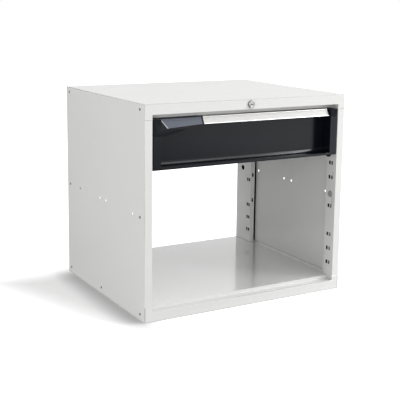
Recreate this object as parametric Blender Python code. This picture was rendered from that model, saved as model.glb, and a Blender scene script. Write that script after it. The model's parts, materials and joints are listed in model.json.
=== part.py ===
"""Workshop storage cabinet: an open folded-steel carcass with perforated posts, one drawer on
full-extension roller runners under the top, a slanted handle rail and a cam lock in the fascia.

Frame: +Z up, the front looks along -Y, X runs to the right seen from the front, and the origin is
the middle of the base. All lengths are in metres.
"""

import math
from collections import namedtuple

import bmesh
import bpy
from mathutils import Matrix, Vector

MM = 0.001

# Carcass
WIDTH = 717 * MM
DEPTH = 600 * MM
HEIGHT = 650 * MM
SHEET = 1.5 * MM
SEAT = 0.3 * MM
OVERRUN = 1 * MM
STILE_WIDTH = 25 * MM
FACE_HEIGHT = 31 * MM
EAR_HEIGHT = 46 * MM
LEDGE_DEPTH = 30 * MM
STEP_HEIGHT = 10 * MM
TOP_LIP_GAP = 1.5 * MM
BASE_RIM = 25 * MM
BACK_RETURN = 12 * MM
TOP_HOLE_DIAMETER = 6 * MM
TOP_HOLE_FROM_SIDE = 55 * MM
TOP_HOLE_FROM_END = 82 * MM
FLOOR_HOLE_DIAMETER = 5 * MM
FLOOR_HOLE_FROM_BACK = 45 * MM
FLOOR_HOLE_PITCH = 36 * MM

# Posts, whose holes are placed in shares of the slots' pitch above the lowest slots
FRONT_POST_DEPTH = 50 * MM
FRONT_POST_LIP = 20 * MM
REAR_POST_DEPTH = 98 * MM
REAR_POST_LIP = 16 * MM
POST_WALL_FLANGE = 45 * MM
SLOT_PITCH = 48 * MM
SLOT_ROW_SHARES = (0, 1, 2, 4, 6, 7, 8, 9, 10)
SLOT_WIDTH = 9 * MM
SLOT_HEIGHT = 12 * MM
SLOT_BRIDGE = 3 * MM
FRONT_SLOT_FROM_FRONT = 27 * MM
REAR_SLOT_FROM_BACK = 81 * MM
ROUND_HOLE_DIAMETER = 19 * MM
ROUND_HOLE_ROW_SHARE = 4.83
ROUND_HOLE_FROM_FRONT = 25 * MM
ROUND_HOLE_FROM_BACK = 40 * MM
SLIT_WIDTH = 2 * MM
SLIT_LENGTH = 24 * MM
SLIT_FROM_FRONT = 15 * MM
SLIT_ROW_SHARES = (4.42, 6.17)
LIP_SLOT_WIDTH = 7 * MM
LIP_SLOT_HEIGHT = 14 * MM
LIP_ROW_SHARES = (2.4, 4.4)
PLUG_FLANGE = 1.5 * MM
PLUG_FLANGE_THICKNESS = 1.2 * MM
PLUG_DEPTH = 6 * MM
PLUG_WALL = 1.5 * MM

# Side holes and screws
SIDE_HOLE_DIAMETER = 8 * MM
SIDE_HOLE_HEIGHT = 317 * MM
SIDE_HOLES_FROM_FRONT = (82 * MM, 278 * MM, 323 * MM, 488 * MM)
SCREW_HEAD_DIAMETER = 8.4 * MM
SCREW_SHANK_DIAMETER = 5 * MM
SCREW_LENGTH = 11 * MM
SCREW_SOCKET_DIAMETER = 3.4 * MM
SCREW_SOCKET_DEPTH = 1.8 * MM
SCREW_FROM_FRONT = 31 * MM
SCREW_FROM_BACK = 25 * MM
SCREW_FROM_TOP = 17 * MM
SCREW_FROM_GROUND = 20 * MM
SCREW_MID_HEIGHT = 316 * MM
SCREW_CENTRE_FROM_FRONT = 318 * MM

# Lock
LOCK_PROUD = 6 * MM
LOCK_RING_DIAMETER = 23 * MM
LOCK_BARREL_DIAMETER = 17 * MM
LOCK_BARREL_LENGTH = 19 * MM
LOCK_NUT_WIDTH = 24 * MM
LOCK_NUT_THICKNESS = 4 * MM
LOCK_PLUG_DIAMETER = 10 * MM
LOCK_PLUG_HEAD_DIAMETER = 14 * MM
LOCK_PLUG_HEAD_DEPTH = 3 * MM
LOCK_PLUG_SINK = 0.6 * MM
LOCK_SQUARE = 6.5 * MM
KEY_SLOT_WIDTH = 2 * MM
KEY_SLOT_LENGTH = 8.5 * MM
KEY_SLOT_DEPTH = 4 * MM
CAM_WIDTH = 13 * MM
CAM_THICKNESS = 2 * MM
CAM_LENGTH = 37 * MM
CAM_SLOT_MARGIN = 1.2 * MM
CAM_SCREW_DIAMETER = 3 * MM
CAM_SCREW_LENGTH = 6 * MM
CAM_SCREW_HEAD_DIAMETER = 9 * MM
CAM_SCREW_HEAD_THICKNESS = 2 * MM

# Drawer
TOP_GAP = 14.5 * MM
DRAWER_HEIGHT = 148.5 * MM
DRAWER_SIDE_GAP = 2.5 * MM
STRIP_WIDTH = 26 * MM
RECESS_DEPTH = 46 * MM
LIP_FACE = 6.5 * MM
RAMP_SIZE = 6 * MM
STRIP_RETURN = 20 * MM
PANEL_FLANGE = 17 * MM
TUB_SHEET = 1.2 * MM
TUB_FROM_BACK = 52.2 * MM
TUB_LIFT = 14 * MM
TUB_DROP = 16.5 * MM
TUB_HEM = 10 * MM
RUNNER_SPACE = 26.5 * MM
TRAVEL_SHARE = 0.9

# Handle rail, caps, label and tag
HANDLE_FACE_HEIGHT = 21.5 * MM
HANDLE_SETBACK = 11.5 * MM
HANDLE_NOSE = 3.5 * MM
HANDLE_WALL = 1.6 * MM
HANDLE_PLATE = 2 * MM
HANDLE_BEAD = 2.5 * MM
LABEL_CARD = 0.5 * MM
LABEL_COVER = 1 * MM
LEFT_CAP_WING = 145 * MM
RIGHT_CAP_WING = 5 * MM
LEFT_CAP_HEIGHT = 49 * MM
RIGHT_CAP_HEIGHT = 24 * MM
CAP_FRONT = 6 * MM
CAP_CLEARANCE = 1 * MM
TAG_THICKNESS = 1.2 * MM
TAG_FROM_STRIP = 2 * MM
TAG_SLANT = 18.5 * MM
TAG_END_GAP = 6 * MM
TAG_TOP_DROP = 0.8 * MM
TAG_LEFT_HEIGHT = 30.4 * MM
TAG_RIGHT_HEIGHT = 23.2 * MM

# Runners
RAIL_SHEET = 1.5 * MM
RAIL_FROM_FRONT = 22 * MM
RAIL_PAST_POST = 60 * MM
RUNNER_LIFT = 40 * MM
ROLLER_DIAMETER = 22 * MM
ROLLER_PIN_DIAMETER = 6 * MM
ROLLER_SIDE_PLAY = 0.6 * MM
ROLLER_INNER_PLAY = 1 * MM
ROLLER_TRACK_PLAY = 0.3 * MM
ROLLER_END_MARGIN = 4 * MM
MID_RAIL_HEIGHT = 30 * MM
MID_RAIL_SHORTER = 5 * MM
DRAWER_RAIL_SHORTER = 45 * MM
HOOK_SIZE = 7 * MM
HOOK_REACH = 4 * MM
HOOK_ROW_SHARES = (8, 9)
HOOK_PLATE_MARGIN = 4 * MM
CLIP_DEPTH = 24 * MM
CLIP_WIDTH = 8 * MM
CLIP_DROP = 13 * MM
CLIP_ROUND_SHARE = 0.75

HEX_SIDES = 6
SCREW_SIDES = 10
ROUND_SIDES = 20
ARC_STEPS = 6
CURVE_STEPS = 10
GRID = 0.0001 * MM
CLEAN_DISTANCE = 0.001 * MM
FLAT_ANGLE = math.radians(0.1)
SHADE_ANGLE = math.radians(30)
BEND_ANGLE = math.radians(45)

SIDES = {"left": -1, "right": 1}

# What the sizes above give
HALF = WIDTH / 2
FRONT = (LOCK_PROUD - DEPTH) / 2
BACK = FRONT + DEPTH
FLOOR = FACE_HEIGHT + STEP_HEIGHT
OPENING_HALF = HALF - STILE_WIDTH
WALL_IN = HALF - SHEET
FLANGE_OUT = WALL_IN - SEAT
FLANGE_IN = FLANGE_OUT - SHEET
TRAY_UNDERSIDE = HEIGHT - FACE_HEIGHT
EAR_UNDERSIDE = HEIGHT - EAR_HEIGHT
LOCK_HEIGHT = HEIGHT - FACE_HEIGHT / 2
REAR_POST_FRONT = BACK - REAR_POST_DEPTH
CAM_FRONT = FRONT + LOCK_BARREL_LENGTH + SEAT
CAM_BACK = CAM_FRONT + CAM_THICKNESS

DRAWER_TOP = TRAY_UNDERSIDE - TOP_GAP
DRAWER_BOTTOM = DRAWER_TOP - DRAWER_HEIGHT
DRAWER_HALF = OPENING_HALF - DRAWER_SIDE_GAP
STRIP_IN = DRAWER_HALF - STRIP_WIDTH
PANEL_BACK = FRONT + RECESS_DEPTH + SHEET
PANEL_TOP = DRAWER_TOP - HANDLE_PLATE - SEAT
TUB_HALF = OPENING_HALF - RUNNER_SPACE
TUB_FRONT = PANEL_BACK + SEAT
TUB_BACK = BACK - TUB_FROM_BACK
TUB_BOTTOM = DRAWER_BOTTOM + TUB_LIFT
TUB_TOP = DRAWER_TOP - TUB_DROP
CAP_DEPTH = RECESS_DEPTH - PANEL_FLANGE - CAP_CLEARANCE

HANDLE_BOTTOM = DRAWER_TOP - HANDLE_FACE_HEIGHT
HANDLE_FACE = math.hypot(HANDLE_FACE_HEIGHT, HANDLE_SETBACK)
HANDLE_CHANNEL = LABEL_COVER + LABEL_CARD + 2 * SEAT
HANDLE_LEFT = -STRIP_IN + LEFT_CAP_WING
HANDLE_RIGHT = STRIP_IN - RIGHT_CAP_WING

TRAVEL = (TUB_BACK - TUB_FRONT) * TRAVEL_SHARE
RUNNER_HEIGHT = DRAWER_BOTTOM + RUNNER_LIFT
HOOK_MIDDLE_SHARE = sum(HOOK_ROW_SHARES) / len(HOOK_ROW_SHARES)
ROLLER_RADIUS = ROLLER_DIAMETER / 2
TRACK_HALF = ROLLER_RADIUS + ROLLER_TRACK_PLAY
CABINET_RAIL_OUT = OPENING_HALF - SEAT
CABINET_RAIL_IN = CABINET_RAIL_OUT - RAIL_SHEET
DRAWER_RAIL_OUT = TUB_HALF + SEAT
DRAWER_RAIL_IN = DRAWER_RAIL_OUT + RAIL_SHEET
ROLLER_WIDTH = (
    CABINET_RAIL_IN - DRAWER_RAIL_IN - RAIL_SHEET - 2 * (ROLLER_SIDE_PLAY + ROLLER_INNER_PLAY)
) / 2
MID_RAIL_IN = DRAWER_RAIL_IN + ROLLER_SIDE_PLAY + ROLLER_WIDTH + ROLLER_INNER_PLAY
MID_RAIL_OUT = MID_RAIL_IN + RAIL_SHEET
CABINET_RAIL_FRONT = FRONT + RAIL_FROM_FRONT
CABINET_RAIL_BACK = REAR_POST_FRONT + RAIL_PAST_POST
DRAWER_RAIL_FRONT = TUB_FRONT + SEAT
DRAWER_RAIL_BACK = TUB_BACK - DRAWER_RAIL_SHORTER
MID_RAIL_FRONT = DRAWER_RAIL_FRONT + MID_RAIL_SHORTER
MID_RAIL_BACK = DRAWER_RAIL_BACK - MID_RAIL_SHORTER
ROLLER_REACH = ROLLER_RADIUS + ROLLER_END_MARGIN

Finish = namedtuple("Finish", "colour roughness metallic")
LIGHT_COAT = Finish((0.80, 0.80, 0.79), 0.42, 0.0)
DARK_COAT = Finish((0.028, 0.030, 0.036), 0.40, 0.0)
ZINC = Finish((0.62, 0.64, 0.66), 0.35, 1.0)
BLACK_STEEL = Finish((0.03, 0.03, 0.03), 0.35, 0.8)
CHROME = Finish((0.72, 0.72, 0.73), 0.15, 1.0)
ALUMINIUM = Finish((0.86, 0.86, 0.85), 0.38, 1.0)
DARK_PLASTIC = Finish((0.020, 0.021, 0.025), 0.45, 0.0)
SLATE_PLASTIC = Finish((0.13, 0.145, 0.17), 0.35, 0.0)
GREY_PLASTIC = Finish((0.30, 0.30, 0.29), 0.55, 0.0)
WHITE_NYLON = Finish((0.75, 0.74, 0.70), 0.5, 0.0)
WHITE_CARD = Finish((0.85, 0.85, 0.83), 0.7, 0.0)
CLEAR_PLASTIC = Finish((0.90, 0.91, 0.91), 0.08, 0.0)


def box(x, y, z):
    """A closed box between the two values of each pair, in either order."""
    body = bmesh.new()
    bmesh.ops.create_cube(body, size=1)
    for corner in body.verts:
        corner.co = [max(pair) if part > 0 else min(pair) for part, pair in zip(corner.co, (x, y, z))]
    return body


def rod(start, end, radius, end_radius=None, sides=ROUND_SIDES):
    """A closed round bar from start to end, or a cone where end_radius is given."""
    start, end = Vector(start), Vector(end)
    along = end - start
    place = Matrix.Translation((start + end) / 2) @ along.to_track_quat("Z", "Y").to_matrix().to_4x4()
    body = bmesh.new()
    bmesh.ops.create_cone(
        body,
        cap_ends=True,
        segments=sides,
        radius1=radius,
        radius2=radius if end_radius is None else end_radius,
        depth=along.length,
        matrix=place,
    )
    return body


def prism(outline, span, place):
    """A closed bar of one flat outline: place turns its (u, v, along) points into the frame."""
    body = bmesh.new()
    low, high = sorted(span)
    face = body.faces.new([body.verts.new((u, v, low)) for u, v in outline])
    swept = bmesh.ops.extrude_face_region(body, geom=[face])["geom"]
    moved = [item for item in swept if isinstance(item, bmesh.types.BMVert)]
    bmesh.ops.translate(body, vec=(0, 0, high - low), verts=moved)
    bmesh.ops.transform(body, matrix=place, verts=body.verts)
    bmesh.ops.recalc_face_normals(body, faces=body.faces)
    return body


# An outline's u, v and sweep become Y, Z and X; X, Z and Y; or Y, Z and X along the slanted face
ALONG_X = Matrix(((0, 0, 1, 0), (1, 0, 0, 0), (0, 1, 0, 0), (0, 0, 0, 1)))
ALONG_Y = Matrix(((1, 0, 0, 0), (0, 0, 1, 0), (0, 1, 0, 0), (0, 0, 0, 1)))
SLANT = Matrix.Translation((0, FRONT + HANDLE_NOSE, HANDLE_BOTTOM)) @ Matrix.Rotation(
    -math.atan2(HANDLE_SETBACK, HANDLE_FACE_HEIGHT), 4, "X"
)


def helper(name, body, group):
    """An object in a collection made of a bmesh, which it uses up, with its points on the grid."""
    for point in body.verts:
        point.co = [round(value / GRID) * GRID for value in point.co]
    mesh = bpy.data.meshes.new(name)
    body.to_mesh(mesh)
    body.free()
    made = bpy.data.objects.new(name, mesh)
    group.objects.link(made)
    return made


def painted(name, finish):
    """The sub-part's own material, from its finish."""
    material = bpy.data.materials.new(name)
    material.use_nodes = True
    shader = material.node_tree.nodes["Principled BSDF"]
    shader.inputs["Base Color"].default_value = (*finish.colour, 1)
    shader.inputs["Roughness"].default_value = finish.roughness
    shader.inputs["Metallic"].default_value = finish.metallic
    material.diffuse_color = (*finish.colour, 1)
    return material


def solid(name, finish, bodies, cuts=(), parent=None, pivot=(0, 0, 0), smooth=False):
    """One closed sub-part: the bodies joined, the cuts taken away, its origin at pivot."""
    scene = bpy.context.scene.collection
    made = helper(name, bodies[0], scene)
    groups = []
    for operation, tools in (("UNION", bodies[1:]), ("DIFFERENCE", cuts)):
        if not tools:
            continue
        group = bpy.data.collections.new(f"{name}_{operation.lower()}")
        scene.children.link(group)
        for tool in tools:
            helper(f"{name}_tool", tool, group)
        step = made.modifiers.new(operation.title(), "BOOLEAN")
        step.operation = operation
        step.solver = "EXACT"
        step.operand_type = "COLLECTION"
        step.collection = group
        groups.append(group)
    depsgraph = bpy.context.evaluated_depsgraph_get()
    whole = bpy.data.meshes.new_from_object(made.evaluated_get(depsgraph))
    made.modifiers.clear()
    rough = made.data
    made.data = whole
    bpy.data.meshes.remove(rough)
    for group in groups:
        for tool in list(group.objects):
            bpy.data.meshes.remove(tool.data)
        bpy.data.collections.remove(group)
    tidy = bmesh.new()
    tidy.from_mesh(whole)
    bmesh.ops.remove_doubles(tidy, verts=tidy.verts, dist=CLEAN_DISTANCE)
    bmesh.ops.dissolve_limit(tidy, angle_limit=FLAT_ANGLE, verts=tidy.verts, edges=tidy.edges)
    bmesh.ops.translate(tidy, vec=-Vector(pivot), verts=tidy.verts)
    tidy.to_mesh(whole)
    tidy.free()
    whole.materials.clear()
    whole.materials.append(painted(name, finish))
    if smooth:
        whole.shade_smooth()
        whole.set_sharp_from_angle(angle=SHADE_ANGLE)
    made.location = pivot
    made.parent = parent
    return made


def frame(name):
    """An empty at the origin that carries the pieces of one moving group."""
    made = bpy.data.objects.new(name, None)
    bpy.context.scene.collection.objects.link(made)
    return made


def across(sign, inner, outer):
    """The x pair of a stretch on one side of the cabinet."""
    return sign * inner, sign * outer


def slot_height(share):
    """A height on the posts, in slot pitches above the lowest slots; the rails' hooks set where these are."""
    return RUNNER_HEIGHT + (share - HOOK_MIDDLE_SHARE) * SLOT_PITCH


def screw_places():
    """The y and z of each side screw."""
    front = FRONT + SCREW_FROM_FRONT
    back = BACK - SCREW_FROM_BACK
    heights = {"bottom": SCREW_FROM_GROUND, "middle": SCREW_MID_HEIGHT, "top": HEIGHT - SCREW_FROM_TOP}
    places = {f"{level}_front": (front, z) for level, z in heights.items()}
    places.update({f"{level}_back": (back, z) for level, z in heights.items()})
    places["bottom_centre"] = (FRONT + SCREW_CENTRE_FROM_FRONT, SCREW_FROM_GROUND)
    return places


def side_rod(sign, y, z, inner, outer, radius, end_radius=None, sides=SCREW_SIDES):
    """A round body or cut along X on one side of the cabinet."""
    return rod((sign * inner, y, z), (sign * outer, y, z), radius, end_radius, sides)


def flange_bore(sign, y, z):
    """The hole for a side screw's shank through a flange behind the side panel."""
    return side_rod(sign, y, z, FLANGE_IN - OVERRUN, FLANGE_OUT + OVERRUN, SCREW_SHANK_DIAMETER / 2 + SEAT)


def tray_flanges(z, y):
    """The flanges that turn down inside both side panels, and the screw holes through them."""
    walls = [box(across(sign, FLANGE_IN, FLANGE_OUT), y, z) for sign in SIDES.values()]
    low, high = sorted(z)
    bores = [
        flange_bore(sign, place_y, place_z)
        for sign in SIDES.values()
        for place_y, place_z in screw_places().values()
        if low < place_z < high
    ]
    return walls, bores


def ears(z, y):
    """The two ends of a tray's face, which close the stiles above and below their seams."""
    return [box(across(sign, OPENING_HALF, HALF), y, z) for sign in SIDES.values()]


def plate_hole(x, y, top, diameter):
    """A round cut down through one sheet whose upper face is at top."""
    return rod((x, y, top - SHEET - OVERRUN), (x, y, top + OVERRUN), diameter / 2, sides=SCREW_SIDES)


def lock_rod(start, end, radius, end_radius=None, sides=ROUND_SIDES):
    """A round body on the lock's axis between two depths from the carcass front."""
    return rod((0, FRONT + start, LOCK_HEIGHT), (0, FRONT + end, LOCK_HEIGHT), radius, end_radius, sides)


def cam_slot(z, lock_drop):
    """The cut that the lock's cam swings through, as wide as the cam sweeps lock_drop below its axis."""
    reach = math.sqrt(CAM_LENGTH**2 - lock_drop**2)
    behind = CAM_WIDTH / 2 + CAM_SLOT_MARGIN
    y = (CAM_FRONT - CAM_SLOT_MARGIN, CAM_BACK + CAM_SLOT_MARGIN)
    return box((-behind, reach + CAM_SLOT_MARGIN), y, z)


def build_top_tray():
    """Top plate folded down into fascia, back edge and side flanges, with a ledge and lip in front."""
    face_y = (FRONT, FRONT + SHEET)
    back_y = (BACK - SHEET, BACK)
    inside = OPENING_HALF - SEAT
    flanges, flange_bores = tray_flanges((EAR_UNDERSIDE, HEIGHT), (FRONT, BACK - SHEET - SEAT))
    underside = (TRAY_UNDERSIDE, TRAY_UNDERSIDE + SHEET)
    step_y = (FRONT + LEDGE_DEPTH, FRONT + LEDGE_DEPTH + SHEET)
    bodies = [
        box((-HALF, HALF), (FRONT, BACK), (HEIGHT - SHEET, HEIGHT)),
        box((-HALF, HALF), face_y, (TRAY_UNDERSIDE, HEIGHT)),
        box((-HALF, HALF), back_y, (TRAY_UNDERSIDE, HEIGHT)),
        box((-FLANGE_OUT, FLANGE_OUT), (FRONT, step_y[1]), underside),
        box((-inside, inside), step_y, (DRAWER_TOP + TOP_LIP_GAP, underside[1])),
        box((-inside, inside), (BACK - BACK_RETURN, BACK), underside),
        *ears((EAR_UNDERSIDE, HEIGHT), face_y),
        *ears((EAR_UNDERSIDE, HEIGHT), back_y),
        *flanges,
    ]
    lock_bore = lock_rod(-OVERRUN, SHEET + OVERRUN, LOCK_BARREL_DIAMETER / 2 + SEAT)
    top_holes = [
        plate_hole(x, y, HEIGHT, TOP_HOLE_DIAMETER)
        for x in (TOP_HOLE_FROM_SIDE - HALF, HALF - TOP_HOLE_FROM_SIDE)
        for y in (FRONT + TOP_HOLE_FROM_END, BACK - TOP_HOLE_FROM_END)
    ]
    slot = cam_slot((TRAY_UNDERSIDE - OVERRUN, underside[1] + OVERRUN), LOCK_HEIGHT - underside[1])
    solid("top_tray", LIGHT_COAT, bodies, [lock_bore, slot, *top_holes, *flange_bores])


def build_base_frame():
    """Flat frame on the ground that the bottom tray and the side panels stand on."""
    plate = box((-HALF, HALF), (FRONT, BACK), (0, SHEET))
    inner_x = (BASE_RIM - HALF, HALF - BASE_RIM)
    inner_y = (FRONT + BASE_RIM, BACK - BASE_RIM)
    solid("base_frame", LIGHT_COAT, [plate], [box(inner_x, inner_y, (-OVERRUN, SHEET + OVERRUN))])


def build_bottom_tray():
    """Floor plate raised a step above the front ledge, on folded faces."""
    face_y = (FRONT, FRONT + SHEET)
    back_y = (BACK - SHEET, BACK)
    foot = SHEET + SEAT
    flanges, flange_bores = tray_flanges((foot, EAR_HEIGHT), (FRONT, BACK - SHEET - SEAT))
    plate = (FLOOR - SHEET, FLOOR)
    width = (-FLANGE_OUT, FLANGE_OUT)
    step_y = (FRONT + LEDGE_DEPTH, FRONT + LEDGE_DEPTH + SHEET)
    bodies = [
        box(width, (FRONT + LEDGE_DEPTH, BACK), plate),
        box(width, step_y, (FACE_HEIGHT - SHEET, FLOOR)),
        box(width, (FRONT, step_y[1]), (FACE_HEIGHT - SHEET, FACE_HEIGHT)),
        box((-HALF, HALF), face_y, (foot, FACE_HEIGHT)),
        box((-HALF, HALF), back_y, (foot, FLOOR)),
        *ears((foot, EAR_HEIGHT), face_y),
        *ears((foot, EAR_HEIGHT), back_y),
        *flanges,
    ]
    floor_holes = [
        plate_hole(0, y, FLOOR, FLOOR_HOLE_DIAMETER)
        for y in (BACK - FLOOR_HOLE_FROM_BACK, BACK - FLOOR_HOLE_FROM_BACK - FLOOR_HOLE_PITCH)
    ]
    solid("bottom_tray", LIGHT_COAT, bodies, [*floor_holes, *flange_bores])


def build_side_panel(name, sign):
    """Side wall with a stile turned in at the front and at the back."""
    inset = SHEET + SEAT
    stile_z = (EAR_HEIGHT + SEAT, EAR_UNDERSIDE - SEAT)
    bodies = [
        box(across(sign, WALL_IN, HALF), (FRONT + inset, BACK - inset), (inset, HEIGHT - inset)),
        box(across(sign, WALL_IN, HALF), (FRONT, BACK), stile_z),
        box(across(sign, OPENING_HALF, HALF), (FRONT, FRONT + SHEET), stile_z),
        box(across(sign, OPENING_HALF, HALF), (BACK - SHEET, BACK), stile_z),
    ]
    holes = [
        side_rod(sign, FRONT + y, SIDE_HOLE_HEIGHT, WALL_IN - OVERRUN, HALF + OVERRUN, SIDE_HOLE_DIAMETER / 2)
        for y in SIDE_HOLES_FROM_FRONT
    ]
    head = SCREW_HEAD_DIAMETER / 2 + SEAT
    shank = SCREW_SHANK_DIAMETER / 2 + SEAT
    cones = [side_rod(sign, y, z, HALF, WALL_IN, head, shank) for y, z in screw_places().values()]
    solid(f"{name}_side_panel", LIGHT_COAT, bodies, [*holes, *cones])


def web_cut(sign, y, share, width, height):
    """A square cut through a post's web, at a share of the slot pitch."""
    z = slot_height(share)
    x = across(sign, OPENING_HALF - OVERRUN, OPENING_HALF + SHEET + OVERRUN)
    return box(x, (y - width / 2, y + width / 2), (z - height / 2, z + height / 2))


def slot_cuts(sign, y):
    """The pairs of square holes down a post's web."""
    lobe = (SLOT_BRIDGE + SLOT_WIDTH) / 2
    return [
        web_cut(sign, centre, share, SLOT_WIDTH, SLOT_HEIGHT)
        for share in SLOT_ROW_SHARES
        for centre in (y - lobe, y + lobe)
    ]


def web_bore(sign, y):
    """The round hole halfway up a post's web."""
    inner = OPENING_HALF - OVERRUN
    outer = OPENING_HALF + SHEET + OVERRUN
    z = slot_height(ROUND_HOLE_ROW_SHARE)
    return side_rod(sign, y, z, inner, outer, ROUND_HOLE_DIAMETER / 2, sides=ROUND_SIDES)


def build_front_post(name, sign):
    """Folded post behind the front stile: slotted web, front flange, wall flange and a lip at its back."""
    front = FRONT + SHEET + SEAT
    back = FRONT + FRONT_POST_DEPTH
    tall = (FACE_HEIGHT + SEAT, TRAY_UNDERSIDE - SEAT)
    short = (EAR_HEIGHT + SEAT, EAR_UNDERSIDE - SEAT)
    bodies = [
        box(across(sign, OPENING_HALF, OPENING_HALF + SHEET), (front, back), tall),
        box(across(sign, OPENING_HALF, OPENING_HALF + FRONT_POST_LIP), (back - SHEET, back), tall),
        box(across(sign, OPENING_HALF, FLANGE_IN - SEAT), (front, front + SHEET), tall),
        box(across(sign, OPENING_HALF, FLANGE_OUT), (front, front + SHEET), short),
        box(across(sign, FLANGE_IN, FLANGE_OUT), (front, FRONT + POST_WALL_FLANGE), short),
    ]
    foot = box(
        across(sign, OPENING_HALF - OVERRUN, FLANGE_OUT + OVERRUN),
        (FRONT + LEDGE_DEPTH - SEAT, back + OVERRUN),
        (0, FLOOR + SEAT),
    )
    slit_y = FRONT + SLIT_FROM_FRONT
    cuts = [
        foot,
        *[web_cut(sign, slit_y, share, SLIT_WIDTH, SLIT_LENGTH) for share in SLIT_ROW_SHARES],
        *slot_cuts(sign, FRONT + FRONT_SLOT_FROM_FRONT),
        web_bore(sign, FRONT + ROUND_HOLE_FROM_FRONT),
        flange_bore(sign, FRONT + SCREW_FROM_FRONT, SCREW_MID_HEIGHT),
    ]
    solid(f"{name}_front_post", LIGHT_COAT, bodies, cuts)


def build_rear_post(name, sign):
    """Folded post at the back: slotted web, a narrow slotted lip in front, back and wall flanges."""
    back = BACK - SHEET - SEAT
    tall = (FLOOR + SEAT, TRAY_UNDERSIDE - SEAT)
    short = (EAR_HEIGHT + SEAT, EAR_UNDERSIDE - SEAT)
    lip_y = (REAR_POST_FRONT, REAR_POST_FRONT + SHEET)
    bodies = [
        box(across(sign, OPENING_HALF, OPENING_HALF + SHEET), (REAR_POST_FRONT, back), tall),
        box(across(sign, OPENING_HALF, OPENING_HALF + REAR_POST_LIP), lip_y, tall),
        box(across(sign, OPENING_HALF, FLANGE_IN - SEAT), (back - SHEET, back), tall),
        box(across(sign, OPENING_HALF, FLANGE_OUT), (back - SHEET, back), short),
        box(across(sign, FLANGE_IN, FLANGE_OUT), (BACK - POST_WALL_FLANGE, back), short),
    ]
    lip_middle = OPENING_HALF + REAR_POST_LIP / 2
    lip_slots = [
        box(
            across(sign, lip_middle - LIP_SLOT_WIDTH / 2, lip_middle + LIP_SLOT_WIDTH / 2),
            (lip_y[0] - OVERRUN, lip_y[1] + OVERRUN),
            (slot_height(share) - LIP_SLOT_HEIGHT / 2, slot_height(share) + LIP_SLOT_HEIGHT / 2),
        )
        for share in LIP_ROW_SHARES
    ]
    cuts = [
        *lip_slots,
        *slot_cuts(sign, BACK - REAR_SLOT_FROM_BACK),
        web_bore(sign, BACK - ROUND_HOLE_FROM_BACK),
        flange_bore(sign, BACK - SCREW_FROM_BACK, SCREW_MID_HEIGHT),
    ]
    solid(f"{name}_rear_post", LIGHT_COAT, bodies, cuts)


def build_post_plug(name, sign):
    """Press-in plug that closes the round hole in the front post."""
    place = (sign, FRONT + ROUND_HOLE_FROM_FRONT, slot_height(ROUND_HOLE_ROW_SHARE))
    radius = ROUND_HOLE_DIAMETER / 2 - SEAT
    flange = ROUND_HOLE_DIAMETER / 2 + PLUG_FLANGE
    head = OPENING_HALF - SEAT
    inner = OPENING_HALF + PLUG_DEPTH
    bodies = [
        side_rod(*place, head - PLUG_FLANGE_THICKNESS, head, flange, sides=ROUND_SIDES),
        side_rod(*place, head - PLUG_FLANGE_THICKNESS / 2, inner, radius, sides=ROUND_SIDES),
    ]
    hollow = side_rod(*place, head, inner + OVERRUN, radius - PLUG_WALL, sides=ROUND_SIDES)
    solid(f"{name}_post_plug", GREY_PLASTIC, bodies, [hollow], smooth=True)


def build_side_screws(name, sign):
    """Countersunk screws that hold the side panel to the trays and posts."""
    head = SCREW_HEAD_DIAMETER / 2
    shank = SCREW_SHANK_DIAMETER / 2
    socket = SCREW_SOCKET_DIAMETER / 2
    for level, (y, z) in screw_places().items():
        bodies = [
            side_rod(sign, y, z, HALF, WALL_IN, head, shank),
            side_rod(sign, y, z, WALL_IN + SHEET / 2, HALF - SCREW_LENGTH, shank),
        ]
        cut = side_rod(sign, y, z, HALF + OVERRUN, HALF - SCREW_SOCKET_DEPTH, socket, sides=HEX_SIDES)
        solid(f"{name}_screw_{level}", BLACK_STEEL, bodies, [cut], pivot=(sign * HALF, y, z))


def lock_box(width, height, y):
    """A square body or cut centred on the lock's axis."""
    return box((-width / 2, width / 2), y, (LOCK_HEIGHT - height / 2, LOCK_HEIGHT + height / 2))


def cam_rod(x, start, end, radius, sides=ROUND_SIDES):
    """A round body or cut along Y at the lock's height, between two places in the frame."""
    return rod((x, start, LOCK_HEIGHT), (x, end, LOCK_HEIGHT), radius, sides=sides)


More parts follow.
